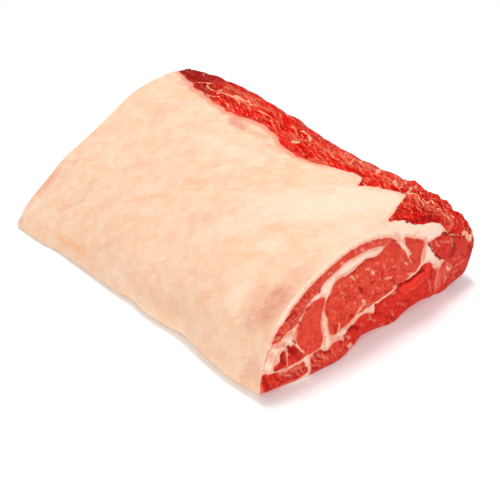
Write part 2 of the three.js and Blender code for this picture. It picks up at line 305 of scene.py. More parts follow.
# the same for grooves between the strands: cut into the strip's relief, and darkened in colour, as dark lean
# with painted shade in the grooves
STRIP_GROOVES_AND_SHADE = [
    (1.87, 0.9, [(177, 113), (175, 106), (175, 98)]), (2.04, 0.6, [(179, 136), (176, 126)]),
    (0.85, 0.9, [(163, 94), (166, 87)]), (2.04, 0.8, [(171, 87), (173, 79), (170, 68), (168, 60)]),
    (0.94, 0.8, [(164, 79), (163, 71)]), (1.7, 0.6, [(183, 88), (182, 78)]),
    (1.87, 0.8, [(165, 52), (167, 45)]), (1.7, 0.8, [(168, 39), (170, 31)]),
    (1.19, 0.8, [(165, 24), (166.5, 16), (168, 11)]), (1.7, 0.6, [(177, 20), (174, 10)]),
    (0.77, 0.5, [(156, 17), (160, 22)]), (1.02, 0.7, [(166, -5), (165, -10)]),
    (1.19, 0.7, [(186, 6), (183, -1)]), (1.53, 0.8, [(164, -23), (161, -32), (160, -41)]),
    (1.7, 0.6, [(190, -8), (184, -19)]), (0.94, 0.7, [(174, -32), (170, -39)]),
    (0.68, 0.7, [(172, -25.5), (176, -27)]), (1.02, 0.8, [(171, -50), (170, -57)]),
    (1.27, 0.5, [(177, -53), (174, -63)]), (1.02, 0.6, [(180, -66), (172, -77)]),
    (0.85, 0.8, [(165, -78), (164, -84)]), (0.85, 0.6, [(162, -92), (163.5, -100)]),
    (1.36, 1.0, [(152.5, -98.5), (155, -103), (158.5, -109)]), (1.87, 0.6, [(168, -110), (173, -107)]),
    (1.02, 0.8, [(161, -112), (164, -118), (169, -125), (172, -129)]),
    (2.04, 0.8, [(176, -132), (179, -138)]), (2.55, 0.7, [(190, -146), (186, -139)]),
    (1.19, 0.9, [(130, -152.5), (140, -148), (150, -143), (158, -138.5), (166, -141)]),
    (1.02, 0.8, [(128, -160), (140, -157.5), (148, -160.5)]), (2.55, 0.7, [(151, -147), (155, -157)]),
    (1.7, 0.9, [(159, -150), (162, -158)]), (1.7, 0.8, [(168, -153), (175, -158), (181, -160)]),
    (1.1, 0.9, [(156, -161.5), (172, -162)]), (1.02, 0.7, [(176, -146), (184, -152)]),
    (2, 0.6, [(160, -151), (168, -157)]), (1.6, 0.6, [(149, -145), (158, -148)]),
    (1.4, 0.7, [(136, -157), (149, -158)]), (1.4, 0.9, [(186, -147), (193, -152)]),
]


def near_line(points, x, z):
    """How far each place is from an open line."""
    gap = np.full(len(x), 1e6)
    for (ax, az), (bx, bz) in zip(points, points[1:]):
        dx, dz = bx - ax, bz - az
        t = np.clip(((x - ax) * dx + (z - az) * dz) / (dx * dx + dz * dz), 0, 1)
        gap = np.minimum(gap, (x - ax - t * dx) ** 2 + (z - az - t * dz) ** 2)
    return np.sqrt(gap)


def marked(marks, first, second, seed):
    """How strongly each place lies on one of the marks, whose edges wander and break up."""
    plane = np.stack([first, second], -1)
    shifted = [
        c + mottle(plane / 4.3, seed + k) + 0.5 * mottle(plane / 1.7, seed + 2 + k)
        for k, c in enumerate((first, second))
    ]
    broken = 0.9 + 0.25 * mottle(plane / 2.6, seed + 5)
    most = np.zeros(len(first))
    for width, strength, points in marks:
        middle = np.mean(points, axis=0)
        reach = max(math.dist(middle, p) for p in points) + 3 * width + 3
        near = np.nonzero(np.hypot(first - middle[0], second - middle[1]) < reach)[0]
        off = near_line(points, shifted[0][near], shifted[1][near])
        here = strength * (1 - smooth(0.3 * width, 1.5 * width, off)) * broken[near]
        most[near] = np.maximum(most[near], here)
    return np.clip(most, 0, 1)


def along_rim(marks):
    """Marks on the skin, with their places across turned into lengths of arc."""
    top = slice(0, int(np.argmax(rim_line[:, 0])))
    turned = []
    for width, strength, points in marks:
        arcs = [np.interp(across, rim_line[top, 0], rim_arc[top]) for across, _ in points]
        turned.append((width, strength, list(zip(arcs, (along for _, along in points)))))
    return turned


def skin_relief(arc, across, up, along):
    """What stands proud of the smooth skin or lies below it, in millimetres."""
    bare = bare_share(across, along) * smooth(12, 34, up)
    strand_arc = arc + 0.22 * along + 3 * mottle(np.stack([arc / 18, along / 40], -1), 3)
    strands = 1 - 2 * np.abs(mottle(np.stack([strand_arc / 5.5, along / 34], -1), 5))
    fine = 1 - 2 * np.abs(mottle(np.stack([strand_arc / 2.6, along / 16], -1), 8))
    crag_place = smooth(-88, -118, along)
    crags = crumbled(np.stack([arc / 11, along / 10], -1), 11)
    torn = 1 - 2 * np.abs(crumbled(np.stack([arc / 8, along / 9], -1), 14, 2))
    lumps = crumbled(np.stack([arc / 4.4, along / 4.2], -1), 17, 2)
    lean = (
        (0.7 * strands + 0.35 * fine) * (1 - 0.5 * crag_place)
        + crag_place * (1.5 * crags + 0.7 * torn + 1.1 * lumps)
        - 0.3
    )
    in_strip = np.nonzero(bare > 0)[0]
    threads = marked(along_rim(STRIP_PALE), arc[in_strip], along[in_strip], 70)
    grooves = marked(along_rim(STRIP_GROOVES_AND_SHADE), arc[in_strip], along[in_strip], 80)
    lean[in_strip] += 0.8 * threads - 1.2 * grooves
    past = across - fat_edge(along)
    step_down = -0.9 * np.exp(-(((past - 4) / 3.5) ** 2)) * smooth(40, -80, along)
    dimples = 0.55 * crumbled(np.stack([across / 26, along / 30], -1), 21, 2)
    wrinkles = 0.14 * (1 - 2 * np.abs(mottle(np.stack([along / 5 - across / 14, across / 30], -1), 25)))
    pores = 0.07 * mottle(np.stack([across / 3.2, along / 3.2], -1), 27)
    fat = (dimples + wrinkles + pores) * smooth(2, 25, up)
    for at_across, at_along, half, slope, deep in SLITS:
        du, dv = across - at_across, along - at_along
        far = du * math.cos(math.atan(slope)) + dv * math.sin(math.atan(slope))
        off = -du * math.sin(math.atan(slope)) + dv * math.cos(math.atan(slope))
        fat = fat - deep * np.exp(-((off / 0.9) ** 2) - (far / half) ** 4) * (up > 20)
    side = smooth(0, 12, across - 222) * (1 - bare)
    return bare * lean + (1 - bare) * fat + bare * step_down + side * 0.4 * strands


def on_skin(arc, across, up, normal, along):
    """The skin of the roast at a place of the rim, its relief standing out along the section's normal."""
    spot = in_tissue(across, np.maximum(up, 0), along)
    strip = smooth(138, 200, across) * smooth(18, 44, up)
    crags = np.sin(across * 0.31 + along * 0.05) * np.sin(along * 0.13 - across * 0.06)
    swell = np.sin(along * 0.041 + across * 0.02) * np.cos(across * 0.043 - along * 0.017)
    rise = strip * reading(STRIP_DEPTH, along) * (1 + 0.12 * crags)
    off_dent = ((across - STRIP_DENT["across"]) / STRIP_DENT["wide"]) ** 2
    off_dent = off_dent + ((along - STRIP_DENT["along"]) / STRIP_DENT["long"]) ** 2
    rise = rise - STRIP_DENT["deep"] * strip * np.exp(-off_dent)
    over_fat = (1 - strip) * smooth(4, 40, up) * smooth(FRONT, FRONT + 30, along)
    relief = skin_relief(arc, across, up, along) * smooth(0.5, 6, up)
    spot[..., 0] += rise * STRIP_OUT[0] + relief * normal[..., 0]
    spot[..., 2] += rise * STRIP_OUT[1] + 1.2 * swell * over_fat + relief * normal[..., 1]
    return spot


rim_line = closed_line(RIM + UNDERSIDE, 2400)
rim_step = np.roll(rim_line, -1, axis=0) - np.roll(rim_line, 1, axis=0)
rim_out = np.stack([-rim_step[:, 1], rim_step[:, 0]], 1) / np.linalg.norm(rim_step, axis=1)[:, None]
rim_arc = np.concatenate([[0], np.cumsum(np.linalg.norm(np.diff(rim_line, axis=0), axis=1))])


def placed(shape, place):
    """Puts each vertex of a shape where place says it goes; both are in millimetres, the mesh in metres."""
    shape.verts.ensure_lookup_table()
    spots = place(np.array([v.co[:] for v in shape.verts]))
    for v, spot in zip(shape.verts, spots * MM):
        v.co = spot
    shape.normal_update()
    bmesh.ops.recalc_face_normals(shape, faces=shape.faces[:])


def as_object(shape, name):
    """Makes a finished shape an object of its own."""
    mesh = bpy.data.meshes.new(name)
    shape.to_mesh(mesh)
    shape.free()
    made = bpy.data.objects.new(name, mesh)
    bpy.context.collection.objects.link(made)
    return made


def drawn_through(name, around, steps, place):
    """A closed bar of so many sides, subdivided along its length and put in its place."""
    shape = bmesh.new()
    bmesh.ops.create_cone(shape, cap_ends=True, segments=around, radius1=1, radius2=1, depth=1)
    lengths = [e for e in shape.edges if abs(e.verts[0].co.z - e.verts[1].co.z) > 0.5]
    bmesh.ops.subdivide_edges(shape, edges=lengths, cuts=steps - 1, use_grid_fill=True)

    def whole(co):
        turned = (np.arctan2(co[:, 1], co[:, 0]) / (2 * np.pi)) % 1
        return place(np.rint(turned * around).astype(int) % around, co[:, 2] + 0.5)

    placed(shape, whole)
    return as_object(shape, name)


def trimmed(piece, tool, way):
    """Cuts a piece with a tool, and keeps what the cut leaves."""
    cut = piece.modifiers.new("cut", "BOOLEAN")
    cut.operation, cut.object, cut.solver = way, tool, "MANIFOLD"
    whole = piece.evaluated_get(bpy.context.evaluated_depsgraph_get())
    mesh = bpy.data.meshes.new_from_object(whole)
    piece.modifiers.clear()
    old, piece.data = piece.data, mesh
    mesh.name = piece.name
    bpy.data.meshes.remove(old)


on_strip = (rim_line[:, 0] > 134) & (rim_line[:, 1] > 38)
pitch = np.where(rim_line[:, 1] < 1.5, UNDER_PITCH, np.where(on_strip, STRIP_PITCH, SKIN_PITCH))
crowd = np.concatenate([[0], np.cumsum(np.linalg.norm(np.diff(rim_line, axis=0), axis=1) / pitch[1:])])
rim_count = int(crowd[-1] // 4 * 4)
rim_at = np.searchsorted(crowd, np.linspace(0, crowd[-1], rim_count, endpoint=False))
skin_steps = 270


def skin_place(index, share):
    at = rim_at[index]
    along = FRONT - CUTS_OVERRUN + share * (BACK - FRONT + 2 * CUTS_OVERRUN)
    skin_known[:] = [np.stack([rim_arc[at], rim_line[at, 0], rim_line[at, 1], along], 1)]
    return on_skin(rim_arc[at], rim_line[at, 0], rim_line[at, 1], rim_out[at], along)


skin_known = []
block = drawn_through("block", rim_count, skin_steps, skin_place)
skin_known = skin_known[0]
skin_finder = KDTree(len(skin_known))
for i, v in enumerate(block.data.vertices):
    skin_finder.insert(v.co, i)
skin_finder.balance()

# The muscles, as they lie in the block: long tapering bars of lean from end to end, wrapped in seams of
# fat. Each is given as the outline that it shows at the front cut, in the order in which they give way.
MUSCLES = {
    "eye_muscle": [
        (60.5, 64.5), (62.5, 68.5), (65, 71.8), (70, 72.5), (75, 72.2), (80, 71.8), (85, 73.4), (90, 75.2),
        (95, 77.2), (100, 76.6), (105, 75.6), (110, 75.4), (114, 76.5), (117, 79), (121, 80.8), (126, 80.5),
        (131, 77.5), (135, 73), (139.5, 67.5), (143, 62.5), (147, 57), (151, 51), (155, 46.5), (159.5, 43),
        (158, 40.8), (152, 39.3), (147, 38.3), (140, 37), (136, 36.6), (130, 35.2), (125, 34.2),
        (120, 33.4), (115, 32.8), (110, 32.3), (105, 31.8), (100, 31.6), (96, 31.2), (91.9, 31.2),
        (87.8, 30), (83.6, 28.4), (79.4, 27.6), (75.2, 27), (71.6, 26.5), (68.9, 25.3), (65.3, 24.8),
        (62.6, 26.4), (61.1, 29), (59.9, 32.6), (59, 37), (58.4, 41), (57.2, 45), (55.2, 49.5),
        (54.3, 53.5), (55, 58), (57.2, 61.5),
    ],
    "cap_muscle": [
        (0.3, 47.6), (1.5, 50.5), (4, 53.6), (8, 57.5), (13, 61.2), (18, 66), (24, 71), (30, 75),
        (35, 77.8), (42, 80.8), (50, 84), (57, 86.6), (65, 89.2), (74, 91.3), (84, 92.3), (95, 92.4),
        (105, 91), (114, 88.3), (121, 86), (127, 82.5), (132, 78.5), (128, 78.8), (122, 80.8), (117, 81),
        (110, 83.4), (100, 85), (90, 85.3), (80, 84.8), (72, 83.2), (65, 80.8), (59, 78.3), (53, 76.4),
        (49, 73.2), (46, 69.8), (42.5, 68.4), (39, 66.8), (35, 63.6), (31, 60.4), (27.5, 57), (25, 54.2),
        (21, 51.8), (16, 51), (12, 48.8), (8, 46.6), (4, 46),
    ],
    "side_muscle": [
        (24.8, 45), (25.5, 49), (28, 53.2), (31, 56.6), (35, 60.2), (39, 63.2), (43, 64.8), (48, 65.2),
        (52, 64.8), (54.2, 63), (54, 59.5), (53, 55.5), (52, 51.5), (51, 47.5), (50.6, 43), (51, 38.5),
        (52.2, 34.5), (53.6, 31.2), (54, 27.6), (52.9, 24.1), (50.5, 21.3), (46.9, 20.3), (42.6, 20),
        (38.9, 20), (35.7, 21), (33.3, 23.9), (30.8, 27.8), (28, 32.2), (25.5, 36.4), (24.4, 40.5),
    ],
    "lip_muscle": [
        (15, 37.6), (18, 36.4), (22, 35.6), (24.5, 34), (27, 30.6), (29.4, 27.2), (32.1, 23.6),
        (35.6, 20.8), (35.1, 19.7), (29.4, 18.9), (23.8, 18.6), (18.1, 18.7), (13.2, 19.2), (8.3, 19.7),
        (4.3, 21.3), (1.8, 23.1), (2.6, 25.2), (5.6, 26.1), (8.3, 26.9), (9, 30), (9.2, 33), (10.8, 35.6),
        (13, 35),
    ],
    "rib_lean_lip": [
        (-5.5, 4.5), (-7.9, 12.2), (-7.9, 17.4), (-7.3, 22.1), (-5.6, 24.4), (-3.5, 22.5), (-1.1, 20.8),
        (3.3, 19.8), (7.3, 18.6), (11.3, 17.3), (15.2, 16.6), (20.9, 16.7), (26.5, 16.9), (30.7, 16.9),
        (33, 15), (34.4, 11.6), (36, 9.3), (36.8, 6.8), (34.2, 5), (28.4, 3.2), (22.8, 2.2), (17.1, 1.3),
        (11.3, 0.7), (4.6, -0.4), (-0.8, -0.7),
    ],
    "rib_lean_middle": [
        (38.7, 4.4), (38.6, 9.4), (39.5, 14), (40.8, 17.6), (43.4, 19.2), (47.2, 19.2), (50.7, 19.5),
        (51.7, 17.7), (53.7, 15.6), (56.4, 15.3), (59.1, 16.8), (62.4, 18.6), (66.3, 18.6), (70.1, 18.2),
        (73.2, 16.8), (74.9, 14.7), (76.4, 12.2), (78, 9.8), (80.3, 6.7), (85.4, -0.4), (79.8, -5.7),
        (60.4, -5.4), (47.6, -4.5), (39.8, -2.7),
    ],
    "rib_lean_chine": [
        (74.3, 18.8), (77.4, 20.5), (81.4, 22.1), (86, 23.2), (90.6, 25), (94.9, 27.1), (100.1, 27.1),
        (104.8, 25.9), (108.5, 23.7), (111.3, 22), (112.4, 24.6), (112.7, 30.1), (118.1, 30.9), (124, 31.8),
        (130, 33), (136, 34.9), (143, 35.3), (150, 35.6), (157, 36.6), (160.4, 38.8), (163, 41),
        (167, 42.8), (171, 42.4), (174.6, 40.8), (177.4, 37.8), (179, 34.6), (182, 32.4), (184.8, 27.8),
        (185.9, 21.2), (186.4, 13.5), (189.5, 4.3), (190.8, -4.9), (190, -13.1), (137.2, -10.1),
        (107.5, -15.5), (96.8, -10.8), (87.5, -0.5), (81.4, 7.2), (79.1, 10.3), (77.4, 12.9), (75.9, 15.4),
    ],
    "wedge_muscle": [
        (140.3, 78.8), (144, 76.8), (149, 74.2), (154, 71.8), (159, 69), (163, 66), (165.2, 63),
        (164.6, 59), (163.2, 55), (162.6, 51), (162.2, 47), (160.5, 43.6), (155, 45.5), (151, 51),
        (148, 57), (146.6, 62.5), (144, 67), (141.6, 72.6),
    ],
    "chine_lean": [
        (171, 60.8), (175, 61.2), (180, 61.8), (184, 62), (187.4, 63.2), (190.5, 62), (194, 59.6),
        (199, 57), (206, 52.5), (213, 50), (222, 45), (232, 42), (242, 36), (246.7, 12), (249.1, -12.6),
        (232.8, -16.7), (209.6, -14.3), (191.6, -12.8), (191.6, -4.7), (190.5, 4.4), (187.7, 13.5),
        (187.4, 21.2), (187.3, 27.8), (189.5, 32.5), (193, 35), (190.6, 36.6), (187.6, 39.2), (184, 43),
        (180.4, 47), (177, 51.2), (173.4, 56.8),
    ],
}
OUTLINE_PITCH = 1.3  # from one point of an outline to the next
muscle_line = {}
for name, outline in MUSCLES.items():
    closed = np.array(outline + outline[:1], float)
    girth = np.linalg.norm(np.diff(closed, axis=0), axis=1).sum()
    line = closed_line(outline, int(girth / OUTLINE_PITCH // 4 * 4))
    step = np.roll(line, -1, axis=0) - np.roll(line, 1, axis=0)
    out = np.stack([step[:, 1], -step[:, 0]], 1) / np.linalg.norm(step, axis=1)[:, None]
    muscle_line[name] = (line, out, np.arange(len(line)) * OUTLINE_PITCH, len(muscle_line) * 3)


def muscle_side(name, index, along):
    """Where the side of a muscle runs: its outline, a little ragged, put in its place in the block."""
    line, out, arc, seed = muscle_line[name]
    ragged = 0.55 * mottle(np.stack([arc[index] / 4.1, along / 30], -1), 40 + seed) + 0.4 * mottle(
        np.stack([arc[index] / 1.7, along / 14], -1), 41 + seed
    )
    spot = line[index] + ragged[:, None] * out[index]
    spot[:, 0] += 2.5 * smooth(FRONT + 2, FRONT + 16, along) * (1 - smooth(2, 16, spot[:, 0]))
    return in_tissue(spot[:, 0], spot[:, 1], along)


def end_line(name, along):
    """A muscle's outline at one end of the block, as places across and up."""
    index = np.arange(len(muscle_line[name][0]))
    return muscle_side(name, index, np.full(len(index), float(along)))[:, [0, 2]]


def inside_by(line, x, z):
    """How far inside a closed line each place lies, in millimetres; outside it is negative."""
    reach = 14.0
    held = np.full(len(x), -reach)
    low, high = line.min(0) - reach, line.max(0) + reach
    near = np.nonzero((x > low[0]) & (x < high[0]) & (z > low[1]) & (z < high[1]))[0]
    px, pz = x[near], z[near]
    gap = np.full(len(near), reach**2)
    within = np.zeros(len(near), bool)
    for (ax, az), (bx, bz) in zip(line, np.roll(line, -1, axis=0)):
        dx, dz = bx - ax, bz - az
        t = np.clip(((px - ax) * dx + (pz - az) * dz) / (dx * dx + dz * dz + 1e-12), 0, 1)
        gap = np.minimum(gap, (px - ax - t * dx) ** 2 + (pz - az - t * dz) ** 2)
        if dz:
            within ^= ((az > pz) != (bz > pz)) & (px < ax + (pz - az) * dx / dz)
    held[near] = np.where(within, 1, -1) * np.sqrt(gap)
    return held


# The two cuts. The knife leaves each muscle swelling a little out of the cut and drawn in at its seams;
# the fat between stands lower, and the rim is rounded over. A few clefts open where the grain parts.
CLEFTS = [
    # width, depth, then across and up of its points
    (1.1, 1.3, [(91, 56), (94, 51.6), (95.6, 48)]), (0.9, 0.8, [(75, 54), (79, 52.6), (83, 51)]),
    (0.9, 0.7, [(96, 40), (104, 37), (112, 39)]), (1, 0.9, [(126, 47), (131, 42), (136, 37)]),
    (1.2, 1.2, [(138, 36), (150, 35.4), (160, 37.2), (167, 38)]), (0.8, 0.6, [(82, 35), (87, 33.6)]),
    (0.9, 0.9, [(65.3, 27.6), (69.5, 34)]), (1, 1, [(112.1, 30.9), (112.8, 24.6), (112, 18.1)]),
    (0.9, 0.8, [(14, 36), (16, 29), (16.6, 21.9)]),
    (1, 1.1, [(170, 61), (175, 53.6), (180, 46.8), (185, 42), (190, 37.6)]),
    (0.8, 0.7, [(176, 57), (184, 49)]), (0.9, 0.8, [(195, 59.6), (203, 58), (208, 53)]),
    (1, 0.8, [(193, 35), (200.2, 29.9), (206.8, 24.4)]),
    (0.9, 0.6, [(125.7, 13.3), (140.3, 17.7), (158.9, 16.2)]),
    (1.1, 1, [(80.4, 22.2), (86.9, 21.9), (92.3, 18.6)]),
    (0.9, 0.8, [(-6.7, 21.6), (-3.4, 13.2), (2.4, 5.2)]),
    (0.8, 0.7, [(2.4, 18.6), (8.5, 11.4), (13.3, 5.6)]), (0.8, 0.7, [(16.2, 11.7), (21.1, 6.9)]),
    (0.8, 0.7, [(25.5, 11.5), (29.9, 7.2)]), (0.9, 0.8, [(40.9, 14.1), (44.9, 10.1)]),
    (0.9, 0.8, [(45.1, 17.5), (49.8, 12.2)]), (0.8, 0.5, [(54.5, 12.5), (62.4, 14.5), (70.6, 12.3)]),
    (0.9, 0.7, [(184.9, 27.8), (185, 16.8), (189.5, 4.3)]), (0.7, 0.5, [(120, 62), (124, 52), (122, 45)]),
    (0.8, 0.7, [(20, 58), (26, 57), (32, 61), (39, 61)]), (0.8, 0.6, [(13, 61), (19, 64), (26, 66)]),
    (5, -3.4, [(154, 79), (164, 76), (176, 71.5)]), (3, -1.4, [(172, 56), (176, 48)]),
    (1.3, 1.2, [(146, 90), (164, 85), (178, 79)]), (1.2, 0.7, [(150, 82), (149, 77), (151, 73)]),
]


def section_place(x, z, along=FRONT):
    """Across and up, in the front section, of a place in the block."""
    across, up = x + LIP_TO_MIDDLE, z
    for _ in range(20):
        spot = in_tissue(across, up, along)
        across, up = across + x - spot[:, 0], up + z - spot[:, 2]
    return across, up


def cut_relief(x, z, along):
    """How far a cut swells out, in millimetres, over the plane that the knife went through."""
    lean = np.max([inside_by(end_line(name, along), x, z) for name in MUSCLES], axis=0)
    rim = on_skin(rim_arc, rim_line[:, 0], rim_line[:, 1], rim_out, np.full(len(rim_arc), along))
    edge = inside_by(rim[::8][:, [0, 2]], x, z)
    plane = np.stack([x, z], -1)
    swell = np.where(lean > 0, 0.75 * smooth(0, 4, lean) - 0.15, 0.3 * smooth(0, 3, -lean) - 0.15)
    grain = 0.16 * crumbled(plane / 3.1, 51, 3) + 0.35 * crumbled(plane / 17, 52, 2)
    worked = swell + np.where(lean > 0, 1, 0.45) * grain
    worked -= 1.3 * (1 - smooth(0, 3.2, edge)) ** 2
    if along < 0:
        across, up = section_place(x, z)
        for width, deep, points in CLEFTS:
            wander = 0.5 * mottle(plane / 2.3, 53)
            worked -= deep * np.exp(-((near_line(points, across, up) + wander) / width) ** 2)
    return worked


def slab_place(co):
    x, z = co[:, 0] * 258, (co[:, 1] + 0.5) * 112 - 4
    back_side = co[:, 2] > 0.5
    across, up = x + LIP_TO_MIDDLE, z
    front = FRONT + reading(FRONT_FOOT, across) * (1 - smooth(0, 35, up))
    front += reading(FOOT_RECESS, across) * (1 - smooth(0, 9, up))
    far = BACK + 3 * (1 - ((up - 45) / 50) ** 2)
    along = np.where(back_side, far, front)
    for side, where in ((1, back_side), (-1, ~back_side)):
        end = BACK if side > 0 else FRONT
        along[where] += side * cut_relief(x[where], z[where], end)
    return np.stack([x, along, z], 1)


shape = bmesh.new()
cells = ((300, 132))
bmesh.ops.create_grid(shape, x_segments=cells[0], y_segments=cells[1], size=0.5)
drawn = bmesh.ops.extrude_face_region(shape, geom=shape.faces[:])["geom"]
bmesh.ops.translate(shape, verts=[g for g in drawn if isinstance(g, bmesh.types.BMVert)], vec=(0, 0, 1))
placed(shape, slab_place)
between_cuts = as_object(shape, "between_cuts")
trimmed(block, between_cuts, "INTERSECT")

# The bare strip on the chine shoulder, where the fat has been cut away from the lean: a sheet of torn
# strands whose bed slopes up to the skin along the fat's ragged edge and behind the front cut.
shoulder = np.nonzero((rim_line[:, 0] >= 115) & (rim_line[:, 1] >= 34))[0]


def strip_place(index, share):
    columns = 2 * len(np.unique(index)) // 4
    outward = index >= columns
    part = np.where(outward, 2 * columns - 1 - index, index) / (columns - 1)
    along = FRONT - CUTS_OVERRUN + (BACK - FRONT + 2 * CUTS_OVERRUN) * share**1.3
    start = fat_edge(along)
    across = start + (224 - start) * part**1.4
    at = np.interp(across, rim_line[shoulder, 0], shoulder)
    count = np.arange(len(rim_arc))
    arc, up = np.interp(at, count, rim_arc), np.interp(at, count, rim_line[:, 1])
    out = np.stack([np.interp(at, count, rim_out[:, k]) for k in (0, 1)], 1)
    skin = on_skin(arc, across, up, out, along)
    front_edge = FRONT + reading(BED_FRONT, across)
    inside = np.minimum(np.minimum((across - start) / 13, (along - front_edge) / 13), 1)
    bed = (reading(BED_DEPTH, along) + 3) * inside - 3
    depth = np.where(outward, -25, bed)
    skin[:, 0] -= depth * STRIP_OUT[0]
    skin[:, 2] -= depth * STRIP_OUT[1]
    return skin


cutters = {"back_lean": drawn_through("strip_bed", 96, 190, strip_place)}
for name in MUSCLES:

    def side_place(index, share, name=name):
        return muscle_side(name, index, FRONT - CUTS_OVERRUN + share * (BACK - FRONT + 2 * CUTS_OVERRUN))

    bare = name.startswith("rib_lean") or name == "chine_lean"
    cutters[name] = drawn_through(name + "_bed", len(muscle_line[name][0]), 36 if bare else 22, side_place)

pieces = {}
for name, tool in cutters.items():
    piece = bpy.data.objects.new(name + "_meat", block.data.copy())
    bpy.context.collection.objects.link(piece)
    trimmed(piece, tool, "INTERSECT")
    for other in list(cutters)[: list(cutters).index(name)]:
        trimmed(piece, cutters[other], "DIFFERENCE")
    pieces[name] = piece
fat = bpy.data.objects.new("fat_cap_and_seams", block.data.copy())
bpy.context.collection.objects.link(fat)
for tool in cutters.values():
    trimmed(fat, tool, "DIFFERENCE")
pieces["fat"] = fat
for tool in [block, between_cuts, *cutters.values()]:
    bpy.data.objects.remove(tool)

# What the marks on the meat are measured by: how far a place lies inside its own muscle's outline or past
# the fat's edge, where it lies on the skin, and the pale and dark marks of each cut and of the strip. The
# dark marks and some of the stains on the fat carry painted shade and painted light.
STRIP_WARM = [
    # width, strength, then across and along of its points: where a film of fat lies on the bare strip
    (6, 0.75, [(187, -122), (186, -84), (187, -46)]), (5, 0.5, [(174, -64), (176, -80)]),
    (4, 0.5, [(176, -104), (178, -118)]),
    (3.2, 0.65, [(167, -141), (171, -149), (181, -156), (191, -160), (196, -162)]),
    (2, 0.5, [(192, -126), (200, -138)]), (4, 0.5, [(170, -8), (177, -18)]),
    (3, 0.5, [(178, -28), (178, -44)]), (4, 0.6, [(186, 98), (184, 60)]), (5, 0.5, [(185, 58), (186, 44)]),
    (3, 0.5, [(160, 96), (161, 84)]), (3, 0.6, [(177, 74), (179, 60)]), (3, 0.4, [(161, 40), (161, 24)]),
    (3, 0.5, [(158, 16), (156, 2)]), (3, 0.5, [(158, -44), (160, -58)]), (3, 0.4, [(175, 96), (177, 84)]),
    (3, 0.5, [(184, 148), (188, 154)]), (3, 0.4, [(164, -88), (163, -98)]),
]
